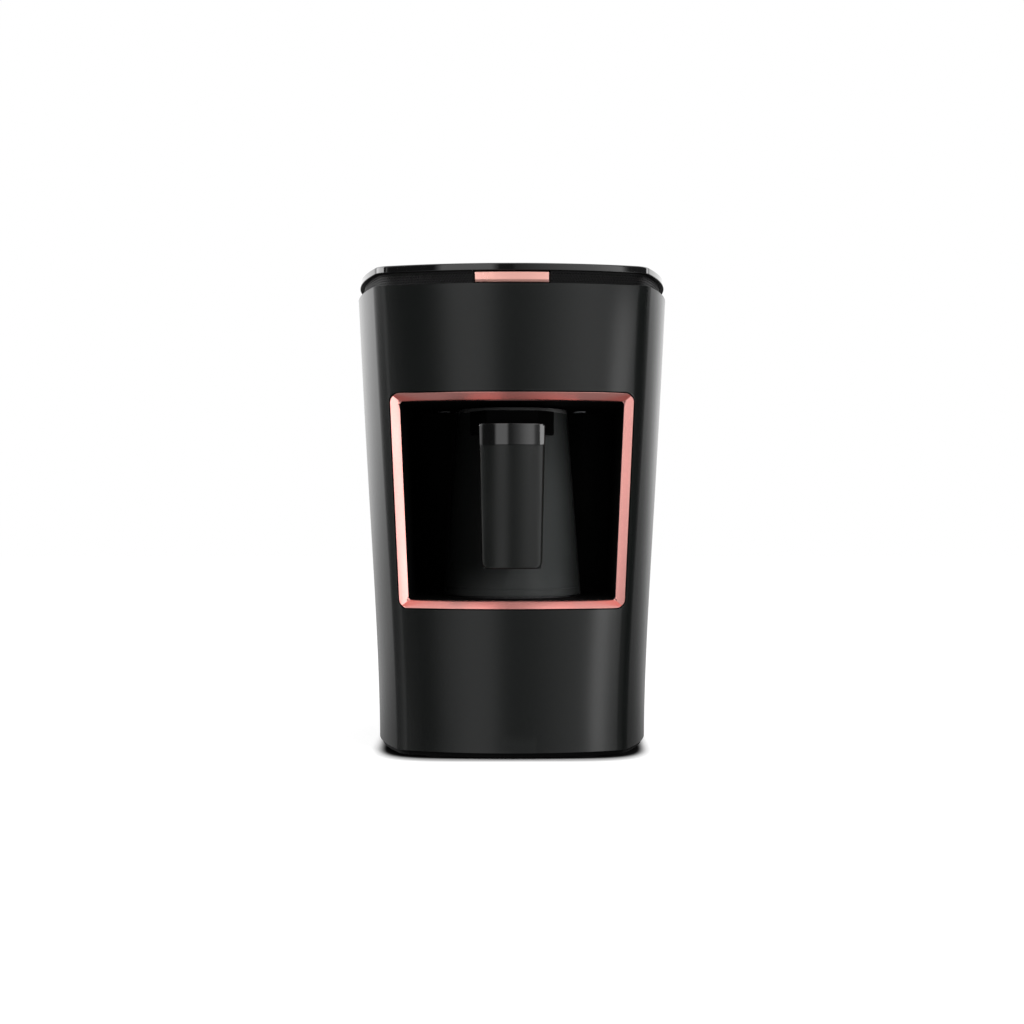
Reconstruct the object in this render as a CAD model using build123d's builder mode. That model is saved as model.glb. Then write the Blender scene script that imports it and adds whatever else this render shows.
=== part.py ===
from build123d import *
import os
from math import cos, radians, sin, sqrt

# Electric Turkish coffee maker, in millimetres. +Z is up, the front faces -Y, and the
# origin is at the centre of the footprint, on the surface that it stands on.

os.makedirs("parts", exist_ok=True)

# Casing: a bowed rounded rectangle in plan, widest at its top edge.
body_half_width = 90.2
body_half_depth = 103.8
side_bow = 16.2
front_bow = 13.8
corner_radius = 12.0
shell_bottom = 3.5
shell_top = 256.7
body_taper = 12.2  # drawn in from the top edge to the bottom edge
taper_swell = 0.8  # how much sooner the lower half draws in than a straight side
loft_spans = 4
shell_wall = 2.4

# Window in the front and the frame round it.
window_low = 81.4
window_high = 199.0
window_half_low = 61.9
window_half_high = 66.8
window_radius = 5.3
frame_rail = 4.7  # bevel of the top and bottom bars, as seen from the front
frame_side = 5.5  # bevel of the side bars, as seen from the front
frame_lip = 0.5
bevel_depth = 4.5
frame_depth = 9.0
frame_inner_radius = 1.6
flange_reach = 3.0
frame_gap = 0.5

# Chamber behind the window.
liner_wall = 2.0
liner_back = 38.0
liner_step = 0.8  # from the frame's inside out to the liner's inside
liner_radius = 18.0

# Clearances: round a piece that is dropped in, and round one that sits tight in a hole.
fit = 0.3
part_play = 0.1

# Top: deck, vented band, plate and start button.
deck_drop = 2.4  # from the shell's top edge down to the deck
deck_thick = 3.0
deck_window_half = 16.0
deck_window_width = 12.0
deck_window_y = 22.0
vent_rows = 5
vent_length = 56.0
vent_width = 3.0
vent_pitch = 9.0
vent_forward = 12.0
band_inset = 3.2
band_wall = 2.0
post_y = 58.0
post_radius = 3.5
post_seat = 2.0
band_height = 9.4
plate_thick = 4.1
plate_skin = 1.3  # left over the blind screw holes
plate_inset = 0.8
plate_edge = 0.5
button_half = 19.8
button_rise = 3.2  # of the button's underside over the deck
button_height = 5.3
button_thick = 5.0
button_edge = 0.4
button_bevel = 1.2
button_gap = 0.9
button_travel = 1.6
carrier_half = 17.0
carrier_length = 16.0
carrier_height = 7.6
carrier_float = 0.2
shoulder_half = 24.0
shoulder_thick = 2.0
rail_wall = 2.0
rail_height = 6.0
stop_wall = 2.5
spring_spread = 11.5
spring_radius = 2.0
spring_wire = 0.35
spring_turns = 7
spring_space = 9.0
pocket_depth = 5.0
pocket_radius = 2.5

# Switch behind the button.
switch_width = 12.0
switch_depth = 8.0
switch_height = 6.4
plunger_width = 3.0
plunger_height = 2.4
plunger_out = 3.4
plunger_inside = 3.0
plunger_play = 0.1
switch_gap = 0.1

# Hot plate in the chamber floor.
pot_forward = 13.0  # from the middle of the casing to the pot's axis
plate_radius = 38.0
plate_body = 7.5
flange_radius = 43.0
seal_wall = 2.0
seal_lip = 1.5
plate_rise = 0.8  # the hot plate stands this much above the chamber floor
element_radius = 28.0
element_width = 7.0
element_height = 6.0
element_opening = 40.0
terminal_radius = 1.6
terminal_length = 8.0
strap_half = 57.0
strap_width = 24.0
strap_thick = 2.0
strap_screw_x = 51.0
strap_boss_radius = 5.0
probe_radius = 4.0
probe_depth = 2.0
probe_lip = 1.2
fuse_length = 14.0
fuse_width = 8.0
fuse_height = 6.0
fuse_round = 2.0
fuse_x = 22.0

# Pot: a cone on a flat base, its rim just under the frame's top bar.
pot_lift = 0.3
pot_clear = 0.4  # from the rim up to the frame's top bar
pot_base_radius = 40.3
pot_rim_radius = 32.3
jacket_wall = 1.6
jacket_gap = 0.4
vessel_wall = 0.9
collar_height = 2.4
foot_height = 4.0
foot_play = 0.05
vessel_floor = 1.2
rim_round = 0.5

# Handle: a paddle with a bowed front, hung before the pot from a bridge.
handle_reach = 77.0  # from the pot's axis to the handle's front
handle_shell = 8.0
handle_back_thick = 5.5
handle_length = 79.3
handle_lap = 4.4  # from the bridge's underside up to the handle's top
handle_half_low = 15.9
handle_half_high = 17.9
handle_radius = 3.2  # the lower corners
handle_top_radius = 1.4
handle_edge = 1.2
handle_bow = 45.0  # radius of the front in plan
cap_height = 11.7
cap_wall = 1.2
cap_play = 0.05
bridge_half = 23.4
bridge_drop = 3.7  # below the rim's top
bridge_height = 12.1
bridge_neck = 14.0
bridge_flare = 49.0  # from the pot's axis to where the bridge draws in
bridge_bite = 6.0
handle_screw_rise = 14.8
handle_screw_pitch = 42.0
handle_bite = 5.0

# Fasteners.
screw_radius = 1.5
screw_head_radius = 3.0
screw_head = 2.0
screw_bite = 8.0
screw_play = 0.1
screw_slot_length = 3.6
screw_slot_width = 0.8
screw_slot_depth = 0.9
long_boss_radius = 6.0
long_boss_length = 10.0
boss_radius = 4.0
boss_length = 20.0
boss_seat = 2.5

# Base and what stands on it.
base_low = 1.0
base_inset = 1.6
tray_thick = 1.6
rim_wall = 2.0
rim_height = 6.0
foot_radius = 8.0
foot_recess = 0.8
foot_clear = 6.0  # from the heads of the base screws to the feet
slot_count = 7
slot_length = 30.0
slot_width = 3.0
slot_pitch = 7.0
board_half = 42.0
board_depth = 82.0
board_forward = 17.0
board_thick = 1.6
board_post = 9.0
board_post_radius = 3.5
board_post_inset = 5.0
relay_width = 16.0
relay_depth = 20.0
relay_height = 16.0
coil_width = 26.0
coil_depth = 22.0
coil_height = 18.0
coil_core_width = 12.0
capacitor_radius = 5.0
capacitor_height = 14.0
buzzer_radius = 6.5
buzzer_height = 8.0
buzzer_hole = 1.2
socket_width = 14.0
socket_depth = 6.0
socket_height = 7.0
board_part_x = 22.0
board_part_back = 4.0
board_part_pitch = 36.0
part_round = 0.8
coil_leg = 4.0

# Cord inlet at the back.
inlet_height = 17.0
cord_radius = 3.4
gland_radius = 5.5
gland_flange = 8.5
gland_out = 3.0
gland_in = 4.0
clamp_space = 17.4  # from the gland's inner end to the clamp
clamp_half = 14.0
clamp_depth = 8.0
clamp_thick = 5.0
clamp_screw_x = 9.5
clamp_split = 0.3
clamp_bite = 11.0
block_width = 32.0
block_depth = 12.0
block_height = 14.0
block_space = 24.0  # from the clamp to the terminal block
block_hole = 2.0
block_pitch = 9.0
block_terminals = 3

# Sensor and lamps over the chamber.
hood_radius = 10.0
hood_wall = 2.0
hood_height = 8.0
hood_drop = 0.6
hood_flange = 2.5
lens_thick = 2.0
sensor_board_x = 40.0
sensor_board_y = 30.0
lamp_x = 41.2
lamp_y = 22.0
lamp_radius = 4.0
lamp_collar = 1.5
lamp_drop = 0.5
lamp_board_half = 50.0
lamp_board_width = 12.0

# Leads inside the casing.
lead_radius = 1.2
lead_bend = 8.0
switch_lead_bend = 4.0
switch_lead_x = 3.0
ribbon_width = 12.0
ribbon_thick = 1.0
ribbon_bend = 6.0
ribbon_low = 34.0
ribbon_back = 52.0
ribbon_rise = 12.0
lead_drop = 14.0
lead_spread = 12.0
lead_run = 12.0

# Cuts and lofts run on past their ends by this much.
overrun = 2.0

reach = body_half_depth + body_half_width  # from the middle past any face of the casing
chamber_rail = window_high - frame_rail
chamber_sill = window_low + frame_rail
ceiling_low = chamber_rail + liner_step
ceiling_top = ceiling_low + liner_wall
floor_top = chamber_sill - plate_rise
floor_low = floor_top - liner_wall
pot_bottom = chamber_sill + pot_lift
pot_top = chamber_rail - pot_clear
pot_height = pot_top - pot_bottom
pot_y = -pot_forward
deck_top = shell_top - deck_drop
deck_low = deck_top - deck_thick
plate_low = deck_top + band_height
button_low = deck_top + button_rise
tray_low = shell_bottom
tray_top = tray_low + tray_thick
board_low = tray_top + board_post
board_top = board_low + board_thick


def taper(level):
    """How far the casing is drawn in at this level."""
    share = (shell_top - level) / (shell_top - shell_bottom)
    return body_taper * (share + taper_swell * share**3 * (1 - share))


def bowed(half, chord, bow, offset):
    """How far a bowed face lies from the centre, at an offset along it."""
    radius = (chord**2 + bow**2) / (2 * bow)
    return half - radius + sqrt(radius**2 - offset**2)


def front_face(x, level, gap=0.0):
    """Y of the casing's front, drawn in by gap, at this level and distance from the middle."""
    inset = taper(level) + gap
    return -bowed(body_half_depth - inset, body_half_width - inset - side_bow, front_bow, x)


def side_face(y, level, gap=0.0):
    """X of the casing's side, drawn in by gap, at this level and distance from the middle."""
    inset = taper(level) + gap
    return bowed(body_half_width - inset, body_half_depth - inset - front_bow, side_bow, y)


def casing_plan(level, gap):
    """The casing's plan, drawn in by gap from its widest outline."""
    half_x = body_half_width - gap
    half_y = body_half_depth - gap
    corner_x = half_x - side_bow
    corner_y = half_y - front_bow
    with BuildSketch(Plane.XY.offset(level)) as plan:
        with BuildLine():
            ThreePointArc((-corner_x, -corner_y), (0, -half_y), (corner_x, -corner_y))
            ThreePointArc((corner_x, -corner_y), (half_x, 0), (corner_x, corner_y))
            ThreePointArc((corner_x, corner_y), (0, half_y), (-corner_x, corner_y))
            ThreePointArc((-corner_x, corner_y), (-half_x, 0), (-corner_x, -corner_y))
        make_face()
        fillet(plan.vertices(), corner_radius)
    return plan.sketch


def casing_form(gap, low=shell_bottom, high=shell_top):
    """Solid of the casing's shape, drawn in by gap all round."""
    levels = [low + (high - low) * step / loft_spans for step in range(loft_spans + 1)]
    with BuildPart() as form:
        loft([casing_plan(level, taper(level) + gap) for level in levels])
    return form.part


def front_region(level, depth):
    """Plan of what lies before a surface that is depth behind the casing's front."""
    half = window_half_high + flange_reach
    edge = front_face(half, level) + depth
    with BuildSketch(Plane.XY.offset(level)) as region:
        with BuildLine():
            ThreePointArc((-half, edge), (0, front_face(0, level) + depth), (half, edge))
            Polyline((half, edge), (half, -reach), (-half, -reach), (-half, edge))
        make_face()
    return region.sketch


def before_front(steps):
    """Everything before a surface that lies at each step's depth behind the casing's front."""
    with BuildPart() as space:
        loft([front_region(level, depth) for level, depth in steps], ruled=True)
    return space.part


def window_half(level):
    """Half the width of the window at this level."""
    share = (level - window_low) / (window_high - window_low)
    return window_half_low + (window_half_high - window_half_low) * share


def window_prism(side, rail, radius, back):
    """The window's outline, drawn in by side and rail, run along Y."""
    low, high = window_low + rail, window_high - rail
    half_low, half_high = window_half(low) - side, window_half(high) - side
    with BuildPart() as prism:
        with BuildSketch(Plane.XZ.offset(reach)) as face:
            with BuildLine():
                Polyline(
                    (-half_low, low),
                    (half_low, low),
                    (half_high, high),
                    (-half_high, high),
                    close=True,
                )
            make_face()
            if radius:
                fillet(face.vertices(), radius)
        extrude(amount=-reach - back)
    return prism.part


def side_bevel_plan(level):
    """Plan of what the bevels of the two side bars leave open."""
    outer = Vector(window_half(level) - frame_lip, 0)
    inner = Vector(window_half(level) - frame_side, 0)
    outer = Vector(outer.X, front_face(outer.X, level))
    inner = Vector(inner.X, front_face(inner.X, level) + bevel_depth)
    ahead = outer + (outer - inner)
    right = [(ahead.X, -reach), (ahead.X, ahead.Y), (inner.X, inner.Y), (inner.X, 0)]
    with BuildSketch(Plane.XY.offset(level)) as plan:
        with BuildLine():
            Polyline(*right, *[(-x, y) for x, y in reversed(right)], close=True)
        make_face()
    return plan.sketch


def chamber_prism(grow, back, radius):
    """The chamber's outline, grown all round, with rounded corners at its back."""
    with BuildPart() as prism:
        add(window_prism(frame_side - grow, frame_rail - grow, 0, back))
        rear = prism.faces().sort_by(Axis.Y)[-1]
        fillet(rear.edges().sort_by(lambda edge: abs(edge.center().X))[-2:], radius)
    return prism.part


def discs(places, radius, level, height):
    """Upright cylinders of one size that stand at several places."""
    with BuildPart() as group:
        with BuildSketch(Plane.XY.offset(level)):
            with Locations(*places):
                Circle(radius)
        extrude(amount=height)
    return group.part


def block(place, size, level, height):
    """An upright block round a place in plan."""
    with BuildPart() as solid:
        with BuildSketch(Plane.XY.offset(level)):
            with Locations(place):
                Rectangle(*size)
        extrude(amount=height)
    return solid.part


def screws(plane, places, length, way=1):
    """Identical screws: heads on the plane, shanks along its normal or, with way -1, against it."""
    with BuildPart() as group:
        with BuildSketch(plane):
            with Locations(*places):
                Circle(screw_head_radius)
        extrude(amount=way * screw_head)
        with BuildSketch(plane.offset(way * screw_head)):
            with Locations(*places):
                Circle(screw_radius)
        extrude(amount=way * length)
        with BuildSketch(plane):
            with Locations(*places):
                Rectangle(screw_slot_length, screw_slot_width)
                Rectangle(screw_slot_width, screw_slot_length)
        extrude(amount=way * screw_slot_depth, mode=Mode.SUBTRACT)
    return group


def pot_radius(level):
    """Outer radius of the pot at this level."""
    share = (level - pot_bottom) / pot_height
    return pot_base_radius + (pot_rim_radius - pot_base_radius) * share


def turned(points):
    """Solid of revolution about the pot's axis, from (radius, level) points."""
    with BuildPart() as solid:
        with BuildSketch(Plane((0, pot_y, 0), x_dir=(1, 0, 0), z_dir=(0, -1, 0))):
            with BuildLine():
                Polyline(*points, close=True)
            make_face()
        revolve(axis=Axis((0, pot_y, 0), (0, 0, 1)))
    return solid.part


def four(x, y):
    """The four places that mirror (x, y) about both middle planes."""
    return [(x, y), (-x, y), (-x, -y), (x, -y)]


def write(builder, name):
    builder.part.label = name
    export_step(builder.part, f"parts/{name}.step")


# Places that several pieces share.
lower_x = body_half_width - taper(tray_top) - shell_wall - side_bow - boss_seat
lower_y = body_half_depth - taper(tray_top) - shell_wall - front_bow - boss_seat
lower_places = four(lower_x, lower_y)
post_x = side_face(post_y, shell_top, band_inset + band_wall) - post_seat
post_places = four(post_x, post_y)
long_boss_low = deck_low - long_boss_length
boss_low = tray_top + fit

outer_form = casing_form(0)
inner_form = casing_form(shell_wall, shell_bottom - overrun, shell_top + overrun)
frame_back = before_front(
    [(window_low - frame_depth, frame_depth), (window_high + frame_depth, frame_depth)]
)
opening = window_prism(frame_side, frame_rail, frame_inner_radius, reach)

# Outer shell: one wall with the window, the cord hole and eight screw bosses inside.
with BuildPart() as boss_stock:
    add(discs(lower_places, boss_radius, boss_low, boss_length))
    add(discs(post_places, long_boss_radius, long_boss_low, long_boss_length))
    add(outer_form, mode=Mode.INTERSECT)

with BuildPart() as outer_shell:
    add(outer_form)
    add(inner_form, mode=Mode.SUBTRACT)
    add(window_prism(-frame_gap, -frame_gap, window_radius + frame_gap, 0), mode=Mode.SUBTRACT)
    add(boss_stock.part)
    add(discs(lower_places, screw_radius + screw_play, boss_low, screw_bite), mode=Mode.SUBTRACT)
    add(
        discs(post_places, screw_radius + screw_play, long_boss_low, long_boss_length),
        mode=Mode.SUBTRACT,
    )
    with BuildSketch(Plane.XZ):
        with Locations((0, inlet_height)):
            Circle(gland_radius + part_play)
    extrude(amount=-reach, mode=Mode.SUBTRACT)
write(outer_shell, "outer_shell")

# Window frame: four bevelled bars that follow the bowed front, with a flange behind the wall.
bevel_slope = bevel_depth / (frame_rail - frame_lip)
bevel_start = -overrun * bevel_slope
with BuildPart() as side_bevels:
    levels = (window_low - overrun, window_high + overrun)
    loft([side_bevel_plan(level) for level in levels], ruled=True)

with BuildPart() as funnel:
    add(
        before_front(
            [
                (window_low + frame_lip - overrun, bevel_start),
                (chamber_sill, bevel_depth),
                (chamber_rail, bevel_depth),
                (window_high - frame_lip + overrun, bevel_start),
            ]
        )
    )
    add(side_bevels.part, mode=Mode.INTERSECT)

with BuildPart() as frame_flange:
    add(window_prism(-flange_reach, -flange_reach, window_radius + flange_reach, 0))
    add(casing_form(shell_wall + part_play), mode=Mode.INTERSECT)

with BuildPart() as window_frame:
    add(window_prism(0, 0, window_radius, 0))
    add(outer_form, mode=Mode.INTERSECT)
    add(frame_flange.part)
    add(frame_back, mode=Mode.INTERSECT)
    add(funnel.part, mode=Mode.SUBTRACT)
    add(opening, mode=Mode.SUBTRACT)
write(window_frame, "window_frame")

# Chamber liner: a box behind the frame, with holes for the hot plate, sensor and lamps.
plate_low_face = chamber_sill - plate_body
strap_top = plate_low_face - element_height
strap_low = strap_top - strap_thick
strap_places = [(-strap_screw_x, pot_y), (strap_screw_x, pot_y)]
lamp_places = [(-lamp_x, lamp_y), (lamp_x, lamp_y)]
hood_place = [(0, pot_y)]
with BuildPart() as chamber_liner:
    add(chamber_prism(liner_step + liner_wall, liner_back + liner_wall, liner_radius + liner_wall))
    add(chamber_prism(liner_step, liner_back, liner_radius), mode=Mode.SUBTRACT)
    add(frame_back, mode=Mode.SUBTRACT)
    add(discs(hood_place, plate_radius + seal_wall, floor_low, liner_wall), mode=Mode.SUBTRACT)
    add(discs(hood_place, hood_radius + part_play, ceiling_low, liner_wall), mode=Mode.SUBTRACT)
    add(discs(lamp_places, lamp_radius + part_play, ceiling_low, liner_wall), mode=Mode.SUBTRACT)
    add(discs(strap_places, strap_boss_radius, strap_top, floor_low - strap_top))
    add(discs(strap_places, screw_radius + screw_play, strap_top, screw_bite), mode=Mode.SUBTRACT)
write(chamber_liner, "chamber_liner")

# Hot plate, its seal, heating element and the strap that holds them up.
flange_top = floor_low - seal_lip
with BuildPart() as hot_plate:
    add(discs(hood_place, plate_radius, plate_low_face, plate_body))
    add(discs(hood_place, flange_radius, plate_low_face, flange_top - plate_low_face))
    add(discs(hood_place, probe_radius + part_play, plate_low_face, probe_depth), mode=Mode.SUBTRACT)
write(hot_plate, "hot_plate")

with BuildPart() as plate_seal:
    add(discs(hood_place, plate_radius + seal_wall, flange_top, floor_top - flange_top))
    add(discs(hood_place, flange_radius, flange_top, seal_lip))
    add(discs(hood_place, plate_radius, flange_top, reach), mode=Mode.SUBTRACT)
write(plate_seal, "plate_seal")

element_turn = radians(element_opening / 2)
terminal_places = [
    (side * element_radius * sin(element_turn), pot_y + element_radius * cos(element_turn))
    for side in (-1, 1)
]
with BuildPart() as heating_element:
    with BuildSketch(Plane.XY.offset(strap_top)):
        with Locations((0, pot_y)):
            Circle(element_radius + element_width / 2)
            Circle(element_radius - element_width / 2, mode=Mode.SUBTRACT)
        with BuildLine():
            Polyline(
                (0, pot_y),
                (reach * sin(element_turn), pot_y + reach * cos(element_turn)),
                (-reach * sin(element_turn), pot_y + reach * cos(element_turn)),
                close=True,
            )
        make_face(mode=Mode.SUBTRACT)
        with Locations(*terminal_places):
            Circle(element_width / 2)
    extrude(amount=element_height)
    add(discs(terminal_places, terminal_radius, strap_top - terminal_length, terminal_length))
write(heating_element, "heating_element")

with BuildPart() as plate_strap:
    with BuildSketch(Plane.XY.offset(strap_low)):
        with Locations((0, pot_y)):
            SlotOverall(2 * strap_half, strap_width)
        with Locations(*strap_places):
            Circle(screw_radius + screw_play, mode=Mode.SUBTRACT)
        with Locations((0, pot_y)):
            Circle(probe_radius + part_play, mode=Mode.SUBTRACT)
    extrude(amount=strap_thick)
write(plate_strap, "plate_strap")
write(screws(Plane.XY.offset(strap_low - screw_head), strap_places, screw_bite), "strap_screws")

with BuildPart() as temperature_probe:
    add(discs(hood_place, probe_radius, strap_low, plate_low_face + probe_depth - strap_low))
    add(discs(hood_place, probe_radius + part_play + probe_lip, strap_low - probe_lip, probe_lip))
write(temperature_probe, "temperature_probe")

with BuildPart() as thermal_fuse:
    add(block((fuse_x, pot_y), (fuse_length, fuse_width), strap_low - fuse_height, fuse_height))
    fillet(thermal_fuse.edges().filter_by(Axis.Z), fuse_round)
write(thermal_fuse, "thermal_fuse")

# Deck: closes the top of the shell, and carries the band and the button's slide.
carrier_low = deck_top + carrier_float
band_inside = band_inset + band_wall
button_back = plate_inset + button_thick - body_half_depth
shoulder_front = front_face(shoulder_half, shell_top, band_inside) + fit
carrier_back = shoulder_front + carrier_length
stop_front = carrier_back + spring_space
switch_front = carrier_back + switch_gap + plunger_out
rail_front = shoulder_front + shoulder_thick + button_travel + fit
with BuildPart() as top_deck:
    with BuildSketch(Plane.XY.offset(deck_low)):
        add(casing_plan(deck_low, taper(deck_low) + shell_wall + fit))
        with Locations(*post_places):
            Circle(screw_radius + screw_play, mode=Mode.SUBTRACT)
        with Locations((0, deck_window_y)):
            Rectangle(2 * deck_window_half, deck_window_width, mode=Mode.SUBTRACT)
        with Locations((0, -vent_forward)):
            with GridLocations(0, vent_pitch, 1, vent_rows):
                SlotOverall(vent_length, vent_width, mode=Mode.SUBTRACT)
    extrude(amount=deck_thick)
    rail_size = (rail_wall, stop_front - rail_front)
    for side in (-1, 1):
        rail_x = side * (carrier_half + fit + rail_wall / 2)
        add(block((rail_x, (rail_front + stop_front) / 2), rail_size, deck_top, rail_height))
    stop_size = (2 * (carrier_half + fit + rail_wall), stop_wall)
    add(block((0, stop_front + stop_wall / 2), stop_size, deck_top, carrier_height))
    switch_slot = (switch_width + 2 * fit, stop_wall)
    add(
        block((0, stop_front + stop_wall / 2), switch_slot, deck_top, carrier_height),
        mode=Mode.SUBTRACT,
    )
write(top_deck, "top_deck")

# Band between the casing and the plate, with a notch for the button and four screw posts.
notch_depth = 2 * band_inside
with BuildPart() as vent_band:
    with BuildSketch(Plane.XY.offset(deck_top)):
        add(casing_plan(deck_top, band_inset))
        add(casing_plan(deck_top, band_inside), mode=Mode.SUBTRACT)
        with Locations(*post_places):
            Circle(post_radius)
            Circle(screw_radius + screw_play, mode=Mode.SUBTRACT)
        with Locations((0, -body_half_depth)):
            Rectangle(2 * (button_half + button_gap), 2 * notch_depth, mode=Mode.SUBTRACT)
    extrude(amount=band_height)
write(vent_band, "vent_band")

plate_bite = plate_thick - plate_skin
with BuildPart() as top_plate:
    with BuildSketch(Plane.XY.offset(plate_low)):
        add(casing_plan(plate_low, plate_inset))
    extrude(amount=plate_thick)
    chamfer(top_plate.edges().group_by(Axis.Z)[-1], plate_edge)
    add(discs(post_places, screw_radius + screw_play, plate_low, plate_bite), mode=Mode.SUBTRACT)
write(top_plate, "top_plate")
plate_screw_length = plate_low + plate_bite - fit - long_boss_low
write(
    screws(Plane.XY.offset(long_boss_low - screw_head), post_places, plate_screw_length),
    "plate_screws",
)

# Start button: a bowed bar on a sprung slide, with a small switch behind it.
with BuildPart() as start_button:
    with BuildSketch(Plane.XY.offset(button_low)):
        add(casing_plan(button_low, plate_inset))
        with Locations((0, button_back)):
            Rectangle(
                2 * button_half, reach, align=(Align.CENTER, Align.MAX), mode=Mode.INTERSECT
            )
    extrude(amount=button_height)
    chamfer(start_button.faces().sort_by(Axis.Y)[0].edges().sort_by(Axis.Z)[0], button_bevel)
    chamfer(start_button.faces().sort_by(Axis.Y)[0].edges().sort_by(Axis.Z)[-1], button_edge)
write(start_button, "start_button")

spring_level = carrier_low + carrier_height / 2
with BuildPart() as button_carrier:
    with BuildSketch(Plane.XY.offset(carrier_low)):
        with BuildLine():
            Polyline(
                (carrier_half, button_back),
                (carrier_half, shoulder_front),
                (shoulder_half, shoulder_front),
                (shoulder_half, shoulder_front + shoulder_thick),
                (carrier_half, shoulder_front + shoulder_thick),
                (carrier_half, carrier_back),
                (-carrier_half, carrier_back),
                (-carrier_half, shoulder_front + shoulder_thick),
                (-shoulder_half, shoulder_front + shoulder_thick),
                (-shoulder_half, shoulder_front),
                (-carrier_half, shoulder_front),
                (-carrier_half, button_back),
                close=True,
            )
        make_face()
    extrude(amount=carrier_height)
    with BuildSketch(Plane.XZ.offset(-carrier_back)):
        with Locations((-spring_spread, spring_level), (spring_spread, spring_level)):
            Circle(pocket_radius)
    extrude(amount=pocket_depth, mode=Mode.SUBTRACT)
write(button_carrier, "button_carrier")

spring_start = carrier_back - pocket_depth + spring_wire
spring_length = pocket_depth + spring_space - 2 * spring_wire
with BuildPart() as button_springs:
    for side in (-1, 1):
        with BuildLine() as coil:
            Helix(
                pitch=spring_length / spring_turns,
                height=spring_length,
                radius=spring_radius - spring_wire,
                center=(side * spring_spread, spring_start, spring_level),
                direction=(0, 1, 0),
            )
        with BuildSketch(Plane(coil.line @ 0, z_dir=coil.line % 0)):
            Circle(spring_wire)
        sweep(path=coil.line, is_frenet=True)
write(button_springs, "button_springs")

plunger_level = deck_top + switch_height / 2
plunger_hole = (plunger_width + 2 * plunger_play, plunger_height + 2 * plunger_play)
with BuildPart() as micro_switch:
    add(
        block(
            (0, switch_front + switch_depth / 2), (switch_width, switch_depth), deck_top, switch_height
        )
    )
    with BuildSketch(Plane.XZ.offset(-switch_front)):
        with Locations((0, plunger_level)):
            Rectangle(*plunger_hole)
    extrude(amount=-plunger_inside - button_travel - fit, mode=Mode.SUBTRACT)
write(micro_switch, "micro_switch")

with BuildPart() as switch_plunger:
    with BuildSketch(Plane.XZ.offset(plunger_out - switch_front)):
        with Locations((0, plunger_level)):
            Rectangle(plunger_width, plunger_height)
    extrude(amount=-plunger_out - plunger_inside)
write(switch_plunger, "switch_plunger")

# Sensor over the pot: a hood through the ceiling with a lens, and its board on top.
hood_top = ceiling_top + hood_height
with BuildPart() as sensor_hood:
    add(discs(hood_place, hood_radius, ceiling_low - hood_drop, hood_top - ceiling_low + hood_drop))
    add(discs(hood_place, hood_radius + hood_flange, ceiling_top, hood_wall))
    add(discs(hood_place, hood_radius - hood_wall, ceiling_low - hood_drop, reach), mode=Mode.SUBTRACT)
write(sensor_hood, "sensor_hood")

with BuildPart() as sensor_lens:
    add(discs(hood_place, hood_radius - hood_wall - part_play / 2, ceiling_low, lens_thick))
write(sensor_lens, "sensor_lens")

with BuildPart() as sensor_board:
    add(block((0, pot_y), (sensor_board_x, sensor_board_y), hood_top, board_thick))
write(sensor_board, "sensor_board")

with BuildPart() as chamber_lamps:
    add(discs(lamp_places, lamp_radius, ceiling_low - lamp_drop, liner_wall + lamp_drop))
    add(discs(lamp_places, lamp_radius + lamp_collar, ceiling_top, lamp_collar))
write(chamber_lamps, "chamber_lamps")

with BuildPart() as lamp_board:
    lamp_board_size = (2 * lamp_board_half, lamp_board_width)
    add(block((0, lamp_y), lamp_board_size, ceiling_top + lamp_collar, board_thick))
write(lamp_board, "lamp_board")

# Pot: a steel cone in a jacket, with a foot ring and a rim collar.
jacket_low = pot_bottom + foot_height
jacket_high = pot_top - collar_height


def vessel_radius(level):
    """Outer radius of the steel vessel at this level."""
    return pot_radius(level) - jacket_wall - jacket_gap


with BuildPart() as pot_vessel:
    add(
        turned(
            [
                (0, pot_bottom),
                (vessel_radius(pot_bottom) - foot_play, pot_bottom),
                (vessel_radius(jacket_high) - foot_play, jacket_high),
                (vessel_radius(jacket_high) - foot_play - vessel_wall, jacket_high),
                (vessel_radius(pot_bottom) - foot_play - vessel_wall, pot_bottom + vessel_floor),
                (0, pot_bottom + vessel_floor),
            ]
        )
    )
write(pot_vessel, "pot_vessel")

with BuildPart() as pot_jacket:
    add(
        turned(
            [
                (pot_radius(jacket_low) - jacket_wall, jacket_low),
                (pot_radius(jacket_low), jacket_low),
                (pot_radius(jacket_high), jacket_high),
                (pot_radius(jacket_high) - jacket_wall, jacket_high),
            ]
        )
    )
write(pot_jacket, "pot_jacket")

with BuildPart() as pot_foot:
    add(
        turned(
            [
                (vessel_radius(pot_bottom), pot_bottom),
                (pot_radius(pot_bottom), pot_bottom),
                (pot_radius(jacket_low), jacket_low),
                (vessel_radius(jacket_low), jacket_low),
            ]
        )
    )
write(pot_foot, "pot_foot")

rim_inside = vessel_radius(jacket_high) - foot_play - vessel_wall
with BuildPart() as pot_rim:
    add(
        turned(
            [
                (rim_inside, jacket_high),
                (pot_radius(jacket_high), jacket_high),
                (pot_radius(pot_top), pot_top),
                (rim_inside, pot_top),
            ]
        )
    )
    fillet(pot_rim.edges().group_by(Axis.Z)[-1], rim_round)
write(pot_rim, "pot_rim")

# Handle: a paddle in two halves with a glossy cap, on a bridge from the pot.
bridge_high = pot_top - bridge_drop
bridge_low = bridge_high - bridge_height
bridge_flare_y = pot_y - bridge_flare
handle_high = bridge_low + handle_lap
handle_low = handle_high - handle_length
handle_front = pot_y - handle_reach
shell_back = handle_front + handle_shell
handle_rear = shell_back + handle_back_thick
handle_screw_low = handle_low + handle_screw_rise
handle_screw_places = [(0, handle_screw_low), (0, handle_screw_low + handle_screw_pitch)]


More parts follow.
